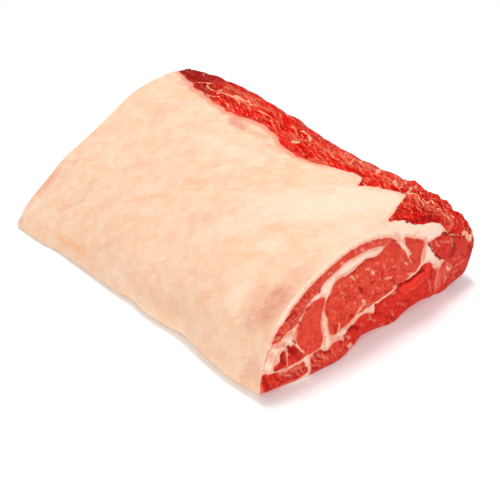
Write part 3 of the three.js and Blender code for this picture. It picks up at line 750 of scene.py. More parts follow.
PALE_MARKS = [
    # width, strength, then across and up of its points: threads and flecks of fat in the front cut
    (4.5, 0.75, [(160, 76), (170, 72), (181, 69.4)]), (3.2, 0.6, [(171, 57), (174, 50), (178, 44)]),
    (2.5, 0.7, [(74, 79), (88, 80.6), (102, 80.4)]),
    (0.8, 0.9, [(14, 36.5), (15, 31), (14.7, 25.9), (15.7, 20.9)]),
    (0.7, 0.85, [(24.5, 36), (27.5, 31.5), (30.3, 27.2), (33.1, 24.4)]),
    (0.8, 0.7, [(7.3, 19.7), (11.3, 17.5), (16.2, 16.6), (23.8, 17.2), (30.3, 17.5), (34.1, 18.6)]),
    (0.8, 0.42, [(8.3, 17.2), (13.3, 13.8), (17.2, 11.2)]),
    (1.4, 0.2, [(18.1, 13.3), (23.7, 14.1), (29.2, 13.3)]), (0.8, 0.36, [(17.2, 11.4), (20.5, 8)]),
    (0.8, 0.33, [(23.7, 10.8), (26.4, 7.1)]), (0.7, 0.33, [(29, 10.6), (31.6, 6.5)]),
    (1.2, 0.3, [(12.3, 3.4), (17.3, 3.9), (22.5, 3.8)]),
    (1.4, 0.9, [(34.1, 18.6), (36.5, 14.8), (37.9, 11.1), (38.2, 6.9)]),
    (0.8, 0.7, [(34.1, 14.7), (32.7, 17.5)]), (0.7, 0.7, [(39.8, 19.8), (42.2, 16.8)]),
    (0.6, 0.42, [(41.6, 15), (45.9, 11.1)]), (0.6, 0.42, [(45.5, 16.7), (48.9, 12.7)]),
    (0.7, 0.42, [(50.2, 14.8), (53.2, 10.8)]), (0.6, 0.35, [(52.6, 12.4), (56.3, 9.1)]),
    (0.6, 0.35, [(42.2, 9.8), (46.6, 6.5)]), (1, 0.55, [(77, 18.6), (81.1, 15.9)]),
    (1.4, 0.75, [(80.7, 9.6), (86.1, 4.5), (95.9, -5.3)]),
    (1.3, 0.54, [(22.1, -0.2), (27.8, 0.6), (34.3, 2.5), (37.8, 4.3)]),
    (0.7, 0.24, [(19.6, 57), (24, 59), (29, 57.4)]), (0.7, 0.24, [(22, 54), (27, 56.2)]),
    (0.7, 0.24, [(26, 62), (31, 61.4), (35, 58)]), (0.7, 0.24, [(30, 66), (35, 64.4), (38.6, 61.6)]),
    (0.7, 0.21, [(34, 69.4), (39, 66.6)]), (0.8, 0.21, [(38.6, 72.4), (43, 70)]),
    (0.6, 0.21, [(24, 66.6), (28.6, 64)]), (0.6, 0.17, [(31, 71), (35, 68)]),
    (1.3, 0.27, [(3, 50), (6.6, 49)]), (0.8, 0.17, [(14, 60), (16.6, 55)]),
    (0.7, 0.17, [(12, 55), (15, 51.6)]), (1.7, 0.9, [(43, 67.6), (47, 67.6), (52, 70), (56, 74)]),
    (0.8, 0.8, [(80.6, 69.4), (84.6, 65.6)]), (0.6, 0.56, [(86, 69), (87.6, 66.4)]),
    (0.6, 0.56, [(81.6, 61.6), (83.4, 60)]), (0.8, 0.6, [(97, 69.6), (100, 67.4)]),
    (1, 0.9, [(103.4, 65.2), (106, 62.4)]), (0.6, 0.48, [(117, 64.6), (118.4, 61.6)]),
    (1.1, 0.8, [(120, 50), (126.4, 47.6)]), (0.6, 0.4, [(112, 54), (114, 51.6)]),
    (1.3, 0.8, [(95.6, 41.6), (98.6, 37.6)]), (1.4, 0.75, [(89.9, 30.7), (93, 34.4), (96, 38.4)]),
    (0.7, 0.48, [(100, 36.6), (103.4, 34)]), (0.7, 0.4, [(93, 47.4), (95, 44.4)]),
    (0.6, 0.44, [(71.6, 60.4), (75, 57.6)]), (0.6, 0.4, [(73, 55.6), (75.4, 52.6)]),
    (0.6, 0.36, [(85.6, 44.6), (88, 42)]), (0.6, 0.36, [(67.6, 67.4), (71, 64)]),
    (0.6, 0.36, [(126.6, 58.6), (130, 56)]), (0.6, 0.36, [(107.6, 70.6), (111, 68)]),
    (0.6, 0.36, [(124.6, 66.6), (128, 63)]), (0.6, 0.4, [(105, 45.6), (108, 43)]),
    (0.6, 0.36, [(63, 47), (66, 44)]), (0.6, 0.32, [(76, 46), (79, 43.6)]),
    (0.6, 0.32, [(66, 58), (69, 55)]), (0.6, 0.32, [(110, 47.6), (113, 45)]),
    (0.6, 0.32, [(133, 48), (136, 45)]), (0.6, 0.32, [(74, 66), (77, 63)]),
    (0.6, 0.32, [(92, 61.6), (95, 59)]), (0.55, 0.32, [(85, 57), (87, 54.6)]),
    (0.55, 0.32, [(138, 60), (140, 57)]), (0.7, 0.8, [(70.2, 33.6), (70.6, 29.4), (69.6, 26)]),
    (0.9, 0.7, [(70, 86.4), (73, 83.4)]), (0.9, 0.8, [(91, 89.6), (94, 86.6)]),
    (0.8, 0.4, [(56, 84), (60, 82)]), (0.6, 0.4, [(84, 90.4), (87, 88)]),
    (0.6, 0.4, [(100, 91), (104, 88)]), (0.6, 0.35, [(110, 87), (113, 85)]),
    (0.6, 0.35, [(120, 84.6), (124, 82)]), (1.2, 0.8, [(137, 75), (141, 69.6), (145, 64.6), (149, 59.6)]),
    (0.7, 0.7, [(141.6, 56), (145, 52)]), (0.6, 0.8, [(146, 43.6), (152, 41), (158, 39)]),
    (0.8, 0.8, [(149, 40.6), (157.6, 37.6), (160.8, 39.6), (161.6, 44.6)]),
    (0.8, 0.6, [(131, 38.4), (138, 36)]), (1.1, 0.5, [(128, 33.4), (134, 31)]),
    (0.8, 0.85, [(110.1, 31.8), (115, 31.8), (121, 32.4), (128, 33.8), (136, 36)]),
    (1.26, 0.29, [(174.5, 24.2), (177.7, 19.1), (178.7, 13.6)]),
    (0.72, 0.24, [(177.9, 16.9), (181.1, 9.2)]),
    (1.08, 0.31, [(193.8, 22.9), (197.3, 16.6), (197.4, 11.7)]),
    (0.9, 0.19, [(188, 33), (192, 26.7), (193.6, 16.7)]),
    (0.96, 0.24, [(185.1, 32), (184.7, 23.4), (186.6, 12.4)]),
    (0.7, 0.35, [(184, 57), (190, 54), (196, 51)]), (0.9, 0.35, [(196, 54), (199, 51), (200, 46.6)]),
    (0.66, 0.43, [(187, 38), (193, 34.4), (199.2, 29.2), (204.4, 24.4)]),
    (1.2, 0.8, [(197, 27.3), (200.3, 23.3), (202.7, 24.4)]),
    (0.6, 0.75, [(195.6, 58.4), (203, 55), (210, 52)]), (0.7, 0.26, [(202.1, 31.9), (212.2, 29.8)]),
    (0.8, 0.34, [(208.9, 23.3), (215.1, 22.2), (220.5, 23.7)]), (0.8, 0.3, [(206.3, 18.1), (213.1, 15.4)]),
    (0.7, 0.3, [(208.1, 12.7), (212, 8.6)]), (2.4, 0.95, [(214, 52.5), (219, 48), (223.5, 43.5)]),
    (0.6, 0.5, [(178, 58.6), (184, 53)]), (0.8, 0.42, [(131.4, 14.6), (133.5, 9.5)]),
    (0.8, 0.49, [(131.8, 3.7), (135.6, 0.4)]), (0.7, 0.42, [(93, 9.4), (104.5, -2.9)]),
    (0.8, 0.35, [(104.1, 23.2), (107.9, 19.2)]), (0.7, 0.35, [(105.8, 19.9), (111.2, 15.9), (113.4, 13.1)]),
    (0.7, 0.32, [(119.5, 8.2), (126.8, 1.4)]), (0.6, 0.32, [(136.2, 20.8), (146.6, 13.4)]),
    (0.6, 0.28, [(150.2, 26.9), (156.4, 23.7)]), (0.6, 0.28, [(120.2, 26.8), (124.3, 23.7)]),
    (0.6, 0.32, [(156, 7.2), (170.3, -3)]), (0.6, 0.28, [(95.9, 20.1), (99.5, 16.6)]),
    (0.6, 0.35, [(60.9, 12.1), (64.1, 8.9)]), (0.6, 0.32, [(67.8, 12.8), (70.1, 9.9)]),
]
DEEP_AND_SHADE_MARKS = [
    # the same for dark places: darker, wet lean, and painted shade in the open grain and the clefts; the
    # first mark, along the top of the fat roll, is a painted shadow under the crags
    (1, 1, [
        (140, 92), (146, 90.2), (152, 87.4), (160, 85.4), (168, 82.8), (174, 80.4), (179, 78), (186, 72.6),
    ]),
    (1.2, 1, [(13.6, 61), (19, 64)]), (1, 1, [(4.6, 53.4), (8.6, 50.6), (10, 48)]),
    (0.8, 0.7, [(20, 58.4), (24, 61)]), (0.8, 0.7, [(25, 68.4), (29, 63)]),
    (0.8, 0.6, [(28, 72.4), (32, 67)]), (0.8, 0.7, [(29.6, 60), (33, 62)]),
    (1, 1, [(34.6, 60), (39.4, 60.8)]), (0.8, 0.6, [(16, 57.4), (19, 52)]),
    (0.8, 0.6, [(21, 66.4), (24, 62)]), (0.7, 0.5, [(33, 74.4), (36, 70)]),
    (1, 0.5, [(40, 77.4), (44, 74)]), (1, 0.7, [(45.6, 73.6), (48, 71)]),
    (0.7, 0.6, [(36, 67.6), (40, 64.6)]), (0.6, 0.6, [(23, 57), (26, 54.6)]),
    (1.2, 0.6, [(27, 53.6), (30, 49.6)]), (0.6, 0.8, [(20.6, 40.2), (23.6, 38.6), (25, 36)]),
    (1.8, 1, [(10, 34.6), (10.6, 28.9), (12.3, 23.9)]), (1.6, 0.95, [(3.8, 22.7), (9.6, 22.8)]),
    (2.1, 1, [(16, 36.4), (20, 31), (24.4, 28.6)]), (1.2, 0.7, [(23.9, 25.1), (27.7, 21.4)]),
    (1.7, 1, [(-7.7, 20.6), (-5, 13.2), (0.2, 3.8)]), (1, 0.8, [(2.4, 18.6), (7.5, 12.4), (12, 6.4)]),
    (0.8, 0.85, [(12.3, 14), (17.2, 8.3)]), (0.8, 0.8, [(18.7, 11.3), (22, 6.6)]),
    (0.8, 0.8, [(22.7, 9.9), (25.7, 5.3)]), (0.8, 0.8, [(26.4, 12), (29.9, 7.2)]),
    (0.8, 0.8, [(30, 11.1), (32.8, 6.7)]), (0.8, 0.7, [(33.4, 10), (35.4, 7.1)]),
    (0.8, 0.6, [(-1.6, 18.5), (1.6, 12.3), (4.7, 6)]), (1, 0.9, [(41, 14.5), (43.1, 9.9)]),
    (1.1, 0.9, [(43.8, 17.5), (47.1, 12.9)]), (1, 0.85, [(48.1, 18.9), (51.3, 15.3)]),
    (0.8, 0.7, [(46.5, 14.9), (49.1, 11.3)]), (1.1, 1, [(53.7, 15.4), (58, 14.2)]),
    (1.3, 0.9, [(39.4, 7.1), (45.1, 4.6)]), (1, 0.6, [(48.3, 7.7), (54.4, 4.3)]),
    (1, 0.6, [(55.7, 6.7), (62.1, 2)]), (1, 0.6, [(64.9, 7.5), (72, 1.5)]),
    (0.8, 0.8, [(75.6, 19.9), (75.3, 14.6)]), (0.8, 0.7, [(50.7, 17.3), (52.9, 14.1)]),
    (0.9, 1, [(75.4, 54), (77, 50.4)]), (0.7, 1, [(79, 53), (83, 51.4)]),
    (1.5, 1, [(91.4, 55.2), (94, 52), (95.2, 48.6)]), (1.5, 0.9, [(82.6, 34.6), (86, 34)]),
    (0.7, 0.9, [(101, 61.4), (103.4, 58.6)]), (0.8, 0.85, [(103, 54), (108, 52.8)]),
    (0.9, 0.8, [(115.4, 59.6), (115.6, 52.6)]), (0.8, 1, [(108, 41), (113, 39.8)]),
    (0.7, 0.9, [(114.6, 40.4), (117.6, 39)]), (0.8, 1, [(120.6, 38.2), (124.4, 36.4)]),
    (0.7, 0.9, [(101.4, 43.2), (103.4, 40.8)]), (0.7, 0.9, [(101, 36.4), (103.4, 33.6)]),
    (0.9, 0.85, [(126.6, 46.4), (131, 42), (135.6, 37.6)]), (0.8, 0.7, [(124, 56.2), (131, 53)]),
    (1, 0.6, [(94.6, 32.6), (97, 31.2)]), (1.2, 0.7, [(64, 34.6), (66.5, 28.5), (67, 26)]),
    (1, 0.6, [(61, 37.6), (62.8, 31.2)]), (0.9, 0.8, [(58.4, 45.6), (56.8, 50.4)]),
    (1, 0.7, [(56, 58.6), (58.4, 62)]), (0.8, 0.85, [(79, 71.4), (86.4, 72.8)]),
    (0.8, 0.7, [(90, 75), (97, 76.4), (104.6, 75)]), (0.6, 0.7, [(82, 67.6), (85, 70)]),
    (1, 0.5, [(71, 41), (74, 36)]), (0.8, 0.5, [(75.9, 33), (79, 38)]), (0.7, 0.45, [(93, 67.4), (97, 64)]),
    (0.7, 0.5, [(109, 60.4), (112, 57)]), (1, 0.5, [(118, 71.4), (116, 76)]),
    (0.8, 0.5, [(123, 83.4), (127, 80)]), (0.8, 0.5, [(132.6, 76.6), (136, 72)]),
    (0.6, 0.5, [(69, 50), (71, 46)]), (0.6, 0.5, [(86, 50), (88, 47)]), (0.6, 0.5, [(120, 45), (123, 42)]),
    (0.6, 0.45, [(98, 52), (101, 49.6)]), (0.6, 0.45, [(106, 68), (108, 65)]),
    (0.6, 0.5, [(112, 66), (115, 63)]), (0.6, 0.5, [(65, 62), (68, 60)]),
    (0.6, 0.45, [(140, 50), (144, 47)]), (0.6, 0.45, [(129, 66), (132, 62)]),
    (0.6, 0.5, [(89, 42), (91, 39)]), (1.3, 1, [(138.6, 35.8), (150, 35.3), (160, 36.8), (167, 38)]),
    (1.6, 1, [(160, 38.2), (164, 39.2), (167.4, 36.6)]),
    (0.9, 0.6, [(138, 30.4), (141.1, 27.3), (144.6, 24.8)]), (1, 0.7, [(129.7, 28.9), (137, 31.4)]),
    (2.1, 0.95, [(82.5, 21.9), (87, 22.2), (91.6, 18.9)]), (1, 0.9, [(74.7, 20.2), (78, 19.3)]),
    (1, 0.9, [(112.1, 30.1), (112.6, 25)]), (0.7, 0.5, [(105.9, 18.6), (108.3, 14.8)]),
    (1.6, 0.5, [(114.6, 21.8), (120.9, 16.2)]), (0.8, 0.7, [(82.7, 12.9), (85.2, 10.2)]),
    (1, 0.8, [(131.6, 8.2), (134.6, 5.9)]), (0.8, 0.5, [(95.9, 15.5), (99.7, 11.3)]),
    (1, 0.6, [(151, 10.2), (157.5, 13.1)]), (1, 0.5, [(161.7, 14.6), (168.6, 11.7)]),
    (1.2, 0.5, [(144.3, 19.7), (150.7, 15.4)]), (1, 0.5, [(124.8, 13.3), (128.7, 9.3)]),
    (1, 0.5, [(101, 9), (113.1, 0.2)]), (1.2, 0.4, [(168.2, 27.8), (172.6, 23.5)]),
    (1, 1, [(170.2, 61), (175, 53.4), (180, 46.6), (185, 42), (189, 38.4), (193, 36)]),
    (1, 1, [(186.6, 62.8), (190, 61.2), (192.4, 58.6)]), (0.9, 1, [(195, 59.6), (203, 59.4)]),
    (0.9, 1, [(196, 58), (200, 55), (204.4, 53.8)]), (0.7, 0.9, [(201, 56.8), (206.4, 53.4)]),
    (1, 0.7, [(203, 52.4), (212, 50.6), (217, 46)]), (2.6, 0.8, [(201, 47.4), (203, 42), (201, 38)]),
    (1.2, 0.8, [(196.6, 37.4), (203, 36)]), (2, 0.8, [(222.4, 36.4), (226, 33), (226.7, 25.5)]),
    (1.2, 0.6, [(219.3, 28.8), (222.8, 24.4)]), (1.6, 0.9, [(176, 32.4), (176.5, 27.1)]),
    (1.6, 0.9, [(180.7, 30.9), (182.4, 26.7), (183.8, 22.4)]), (0.8, 0.7, [(187, 38.6), (190.4, 37)]),
    (0.9, 0.5, [(196.2, 29.9), (201.5, 26.6), (205.8, 24.4)]), (1.4, 0.5, [(197.2, 20.5), (203.9, 16.5)]),
    (1.3, 0.7, [(211.7, 10.9), (215.3, 14.2), (220.8, 10.9)]), (1.2, 0.7, [(207.5, 5.4), (212.7, 7.1)]),
    (1, 0.6, [(205, 0.2), (212, -0.4)]), (0.8, 0.6, [(181, 60), (186, 56)]),
    (0.8, 0.6, [(186, 50), (190, 46)]), (0.8, 0.5, [(207, 41), (212, 37)]),
    (0.8, 0.5, [(212, 33), (217.2, 29.8)]), (1, 0.5, [(190, 44), (194, 40)]),
]
BLUSH_AND_SHADE_MARKS = [
    # the same for places where the fat between the muscles is pink; the first mark, at the left end of the
    # white fat roll under the crags, is painted shade
    (1.2, 0.5, [(151, 80), (149, 76)]), (3.2, 0.8, [(0, 37), (3, 31)]), (2.6, 0.9, [(5, 43), (12, 41)]),
    (2.6, 0.85, [(17, 47), (24, 44)]), (1.6, 0.5, [(38.5, 16), (37.5, 9)]),
    (1.5, 0.6, [(12, 18.4), (24, 18.2), (33, 18.6)]), (2.2, 0.85, [(165.4, 63), (166.4, 56), (166, 49)]),
    (1.6, 0.6, [(163.6, 69), (168, 63)]), (1.1, 0.9, [(1.4, 46), (-2.6, 40), (-5.6, 33), (-6.9, 26.9)]),
    (2.2, 0.6, [(3, 33), (7, 38)]), (2, 0.6, [(14, 46), (20, 44), (22, 40)]),
    (1.6, 0.8, [(52, 44), (52.6, 38), (54.4, 33)]), (1.4, 0.5, [(55.3, 26.7), (55.3, 21.6), (54.5, 17.5)]),
    (1.6, 0.6, [(60.6, 23.4), (65.9, 21), (71.7, 20.3)]),
    (1.4, 0.6, [(79, 25.4), (85.3, 26), (90.8, 28.2)]), (1.6, 0.5, [(84, 83), (96, 83.6), (108, 81.6)]),
    (1.5, 0.5, [(66, 75), (76, 74.6), (86, 76.4)]), (2, 0.5, [(181, 38), (184, 35.4), (188, 33.6)]),
    (2, 0.5, [(127, 88), (134, 81), (138, 75)]), (2.4, 0.6, [(186, 68), (192, 64), (198, 60.4)]),
    (4, 0.6, [(184, 32), (187, 20), (189, 12)]), (3.5, 0.5, [(196, 28), (199, 18)]),
    (3, 0.12, [(24, 13), (32, 10)]),
]
WARM_MARKS = [
    # the same for places where the light comes through the lean
    (2.6, 0.9, [(141, 31.5), (158, 33.5), (170, 37), (173, 40)]),
    (3, 0.6, [(139.1, 25.9), (160.2, 26.8), (172.2, 28.9)]), (2, 0.5, [(156, 14.2), (169.5, 12.7)]),
    (1.6, 1, [(-5, -1), (-9.3, 10.1), (-8.9, 17.4), (-8.1, 22.7)]), (1.6, 0.7, [(-1.8, -0.3), (2.8, -0.8)]),
    (1.8, 0.6, [(176, 34), (178.2, 28.8)]),
    (2.2, 0.6, [(183.1, 30.9), (185.2, 23.4), (187, 12.4), (191.5, 1.5)]),
    (1.6, 0.7, [(46, 71.6), (48.4, 70.4)]), (2, 0.5, [(158, 62), (162, 64)]),
    (2.4, 0.8, [(186, 29), (187, 24), (187.6, 18)]),
    (1.5, 0.75, [(24.6, 52), (28, 56.6), (32, 60), (36, 62.6)]), (1, 0.5, [(55, 57), (54, 52), (56, 47)]),
]


ROSY_AND_SHADE = [
    # width, strength, then across and along of its points: where the fat is thin and the lean shows through;
    # the broad patches on the lip side by the front cut are painted shade, where the cap turns down
    (12, 0.95, [(8, -148), (20, -150)]), (10, 0.5, [(2, -140), (16, -136)]),
    (9, 0.4, [(28, -147), (40, -152)]), (6, 0.35, [(-7, -152), (-8, -142)]),
    (9.2, 0.21, [(-6, -30), (-6, -55)]), (4.6, 0.24, [(8, -62), (10, -80)]),
    (6.9, 0.21, [(46, -22), (48, -36)]), (4.6, 0.24, [(78, 20), (86, 4), (94, -14), (100, -26)]),
    (5.75, 0.21, [(70, 90), (78, 76)]), (5.75, 0.24, [(100, 50), (101, 44)]),
    (6.9, 0.21, [(130, 120), (136, 112)]), (3.45, 0.27, [(48, 164), (52, 150)]),
    (2.88, 0.33, [(10, 124), (18, 116), (26, 108)]), (3.45, 0.21, [(52, 36), (58, 24)]),
    (5.75, 0.18, [(0, 46), (10, 34)]), (5, 1, [(154, 51), (153, 36)]), (4, 0.5, [(154, 28), (155, 10)]),
    (4, 0.4, [(148, -2), (147, -20)]), (4, 0.6, [(163, 118), (163, 100)]),
    (4, 0.55, [(166, 140), (166, 124)]),
]
MILKY_AND_LIT = [
    # the same for thick white fat; the broad patches on the top near the front cut are painted light
    (26, 0.9, [(104, -104), (132, -120)]), (14, 0.8, [(140, -104), (150, -130)]),
    (20, 0.6, [(80, -76), (110, -90)]), (12, 0.6, [(50, -64), (58, -76)]),
    (9, 0.6, [(46, -108), (52, -112)]), (7, 0.7, [(4, -118), (14, -116)]),
    (1.6, 0.45, [(62, 108), (76, 125), (92, 141)]), (4, 0.6, [(36, 34), (36, 22)]),
    (1.5, 0.6, [(86, 58), (88, 68)]), (10, 0.35, [(30, -46), (40, -60)]),
    (10, 0.4, [(76, -146), (104, -150)]), (8, 0.35, [(22, 110), (30, 96)]),
    (8, 0.35, [(120, 50), (124, -12)]), (9, 0.7, [(-1, 162), (8, 158)]),
    (9, 0.4, [(-6, 30), (-8, -40), (-8, -80)]),
]
AMBER = [
    # the same for fat that is stained orange
    (9, 0.95, [(-5, 98), (-4, 72)]), (6, 0.5, [(-4, 140), (-4, 112)]), (4, 0.6, [(2, 84), (6, 78)]),
    (2.5, 0.5, [(38, 58), (44, 48), (54, 34)]), (4, 0.45, [(24, -74), (32, -92), (40, -112)]),
    (5, 0.5, [(60, -94), (66, -104)]), (3, 0.4, [(70, -108), (80, -130)]),
    (5, 0.4, [(98, -36), (108, -46)]), (8, 0.35, [(122, -60), (144, -40)]),
    (5, 0.4, [(112, -22), (122, -42)]), (4, 0.35, [(-2, -82), (4, -92)]), (3, 0.4, [(6, -150), (0, -158)]),
    (4, 0.35, [(12, 12), (20, -2)]), (2, 0.5, [(84, -22), (88, -40)]), (3, 0.4, [(-8, -90), (-8, -120)]),
]


def give(piece, name, kind, values):
    """Keeps a measure on a piece's points or faces for its finish to read."""
    made = piece.data.attributes.new(name, "FLOAT", kind)
    made.data.foreach_set("value", np.asarray(values, np.float32))


CUT_MARKS = {"pale": PALE_MARKS, "deep": DEEP_AND_SHADE_MARKS, "warm": WARM_MARKS, "blush_and_shade": BLUSH_AND_SHADE_MARKS}
STAINS_LIGHT_AND_SHADE = {"rosy_and_shade": (ROSY_AND_SHADE, 90), "milky_and_lit": (MILKY_AND_LIT, 100), "amber": (AMBER, 110)}
ON_STRIP = {"pale": (STRIP_PALE, 70), "deep": (STRIP_GROOVES_AND_SHADE, 80), "warm": (STRIP_WARM, 84)}
ends = {along: {name: end_line(name, along) for name in MUSCLES} for along in (FRONT, BACK)}
for name, piece in pieces.items():
    mesh = piece.data
    co = np.empty(len(mesh.vertices) * 3, np.float32)
    mesh.vertices.foreach_get("co", co)
    x, y, z = (co.reshape(-1, 3) / MM).T
    known = skin_known[[skin_finder.find(v.co)[1] for v in mesh.vertices]]
    arc, across, up, along = known.T
    inside = np.full(len(x), 6.0)
    for end, lines in ends.items():
        near = np.nonzero(np.abs(y - end) < 9)[0]
        if name == "fat":
            inside[near] = -np.max([inside_by(line, x[near], z[near]) for line in lines.values()], axis=0)
        elif name != "back_lean":
            inside[near] = inside_by(lines[name], x[near], z[near])
    past = across - fat_edge(along)
    if name == "fat":
        beside_strip = (up > 40) & (np.abs(y - FRONT) > 3) & (past < 4)
        inside = np.where(beside_strip, np.minimum(inside, np.maximum(-past, 0)), inside)
    if name == "back_lean":
        inside = past
    give(piece, "inside", "POINT", inside)
    give(piece, "arc", "POINT", arc)
    give(piece, "across", "POINT", across)
    front, far = np.abs(y - FRONT) < 7, np.abs(y - BACK) < 7
    for mark, marks in CUT_MARKS.items():
        values = np.zeros(len(x))
        values[front] = marked(marks, *section_place(x[front], z[front]), 61)
        if name != "fat" or mark != "deep":
            values[far] = 0.85 * marked(marks, *section_place(x[far], z[far], BACK), 67)
        if name == "back_lean" and mark in ON_STRIP:
            strip_marks, seed = ON_STRIP[mark]
            values = np.maximum(values, marked(along_rim(strip_marks), arc, along, seed))
        give(piece, mark, "POINT", values)
    if name == "fat":
        for tint, (tint_marks, seed) in STAINS_LIGHT_AND_SHADE.items():
            give(piece, tint, "POINT", marked(along_rim(tint_marks), arc, along, seed) * (up > 1))
    facing = np.array([(f.normal.y, f.center.y) for f in mesh.polygons])
    on_cut = ((facing[:, 0] < -0.5) & (facing[:, 1] < (FRONT + 9) * MM)) | (
        (facing[:, 0] > 0.5) & (facing[:, 1] > (BACK - 9) * MM)
    )
    give(piece, "cut", "FACE", on_cut)
    mesh.shade_smooth()
    mesh.set_sharp_from_angle(angle=math.radians(50))
    mesh.materials.clear()


# The lean: dark red meat cut across its grain, in small bundles with threads of pale fat between them,
# moist, so that it shines softly. Where a muscle was torn off a bone, its grain opens into short flakes.


def colour(red, green, blue):
    """A paint chart's red, green and blue, 0 to 255, as the light that it gives back."""
    shares = (red / 255, green / 255, blue / 255)
    return tuple(((c + 0.055) / 1.055) ** 2.4 if c > 0.04 else c / 12.92 for c in shares) + (1,)


def add(tree, kind, inputs=None, **settings):
    """Adds a node to a finish; its inputs are numbers, colours or other nodes' outputs."""
    made = tree.nodes.new("ShaderNode" + kind)
    for key, value in settings.items():
        setattr(made, key, value)
    for key, value in (inputs or {}).items():
        if isinstance(value, bpy.types.NodeSocket):
            tree.links.new(value, made.inputs[key])
        else:
            made.inputs[key].default_value = value
    return made


def measure(tree, name):
    """A measure that the piece keeps on its mesh."""
    return add(tree, "Attribute", attribute_name=name, attribute_type="GEOMETRY").outputs["Fac"]


def spread(tree, value, low, high, to_low=0.0, to_high=1.0):
    """The part of a value between two marks, as a soft share."""
    given = {"Value": value, "From Min": low, "From Max": high, "To Min": to_low, "To Max": to_high}
    return add(tree, "MapRange", given, interpolation_type="SMOOTHSTEP").outputs["Result"]


def reckoned(tree, how, first, second=0.0):
    """One step of arithmetic on two values, by the name that the node gives it."""
    return add(tree, "Math", {0: first, 1: second}, operation=how).outputs[0]


def times(tree, first, *others):
    """The product of its values, which are shares mostly."""
    for other in others:
        first = reckoned(tree, "MULTIPLY", first, other)
    return first


def most_of(tree, first, *others):
    """The greatest of its values."""
    for other in others:
        first = reckoned(tree, "MAXIMUM", first, other)
    return first


def blended(tree, share, first, second):
    """The first colour, with so much of the second over it."""
    made = tree.nodes.new("ShaderNodeMix")
    made.data_type = "RGBA"
    for key, value in ((0, share), (6, first), (7, second)):
        if isinstance(value, bpy.types.NodeSocket):
            tree.links.new(value, made.inputs[key])
        else:
            made.inputs[key].default_value = value
    return made.outputs[2]


def noise(tree, place, scale, detail=2.0, rough=0.5, bent=0.0):
    """A chance pattern between 0 and 1, of so many lumps to a metre."""
    given = {"Vector": place, "Scale": scale, "Detail": detail, "Roughness": rough, "Distortion": bent}
    return add(tree, "TexNoise", given).outputs["Fac"]


def cell_edges(tree, place, scale):
    """How far a place is from the edges of chance cells, so many to a metre, in steps of a cell."""
    given = {"Vector": place, "Scale": scale, "Randomness": 1.0}
    return add(tree, "TexVoronoi", given, feature="DISTANCE_TO_EDGE").outputs["Distance"]


def stretched(tree, place, size, turn=(0, 0, 0)):
    """A place measured in steps of these sizes, in metres, along directions turned about the three axes."""
    given = {"Vector": place, "Scale": size, "Rotation": turn}
    return add(tree, "Mapping", given, vector_type="TEXTURE").outputs["Vector"]


def new_finish(name):
    """A finish with its node tree and its surface."""
    finish = bpy.data.materials.new(name)
    finish.use_nodes = True
    return finish, finish.node_tree, finish.node_tree.nodes["Principled BSDF"]


grain = bpy.data.node_groups.new("lean_grain", "ShaderNodeTree")
grain.interface.new_socket("Place", in_out="INPUT", socket_type="NodeSocketVector")
for name in ("Bundles", "Flecks", "Torn"):
    grain.interface.new_socket(name, in_out="INPUT", socket_type="NodeSocketFloat")
for name in ("Light", "Dark", "Fleck", "Height"):
    grain.interface.new_socket(name, in_out="OUTPUT", socket_type="NodeSocketFloat")
given = grain.nodes.new("NodeGroupInput").outputs
result = grain.nodes.new("NodeGroupOutput").inputs
broad = noise(grain, given["Place"], 110, 3, 0.6)
middle = noise(grain, given["Place"], 380, 3, 0.6, 0.5)
threads = spread(grain, cell_edges(grain, given["Place"], given["Bundles"]), 0.0, 0.16, 1.0, 0.0)
open_grain = noise(grain, given["Place"], 640, 2, 0.6, 0.8)
torn = noise(grain, stretched(grain, given["Place"], (0.0032, 0.01, 0.0014), (0, 0.7, 0)), 1.0, 3, 0.65, 0.7)
light = times(grain, spread(grain, broad, 0.35, 0.68), 0.55)
light = reckoned(grain, "ADD", light, times(grain, spread(grain, middle, 0.42, 0.7), 0.5))
light = most_of(grain, light, times(grain, spread(grain, torn, 0.51, 0.58), given["Torn"]))
grain.links.new(light, result["Light"])
dark = most_of(
    grain,
    times(grain, spread(grain, middle, 0.46, 0.3), 0.6),
    spread(grain, open_grain, 0.36, 0.27),
    times(grain, spread(grain, torn, 0.46, 0.39), given["Torn"]),
)
grain.links.new(dark, result["Dark"])
fleck = most_of(
    grain,
    times(grain, spread(grain, noise(grain, given["Place"], 760, 2, 0.5, 0.3), 0.59, 0.67), given["Flecks"]),
    times(grain, threads, given["Flecks"], 0.35),
    times(grain, spread(grain, torn, 0.58, 0.64), given["Torn"], 0.45),
)
grain.links.new(fleck, result["Fleck"])
height = reckoned(grain, "ADD", middle, times(grain, open_grain, 0.6))
height = reckoned(grain, "SUBTRACT", height, times(grain, threads, 0.35))
grain.links.new(height, result["Height"])

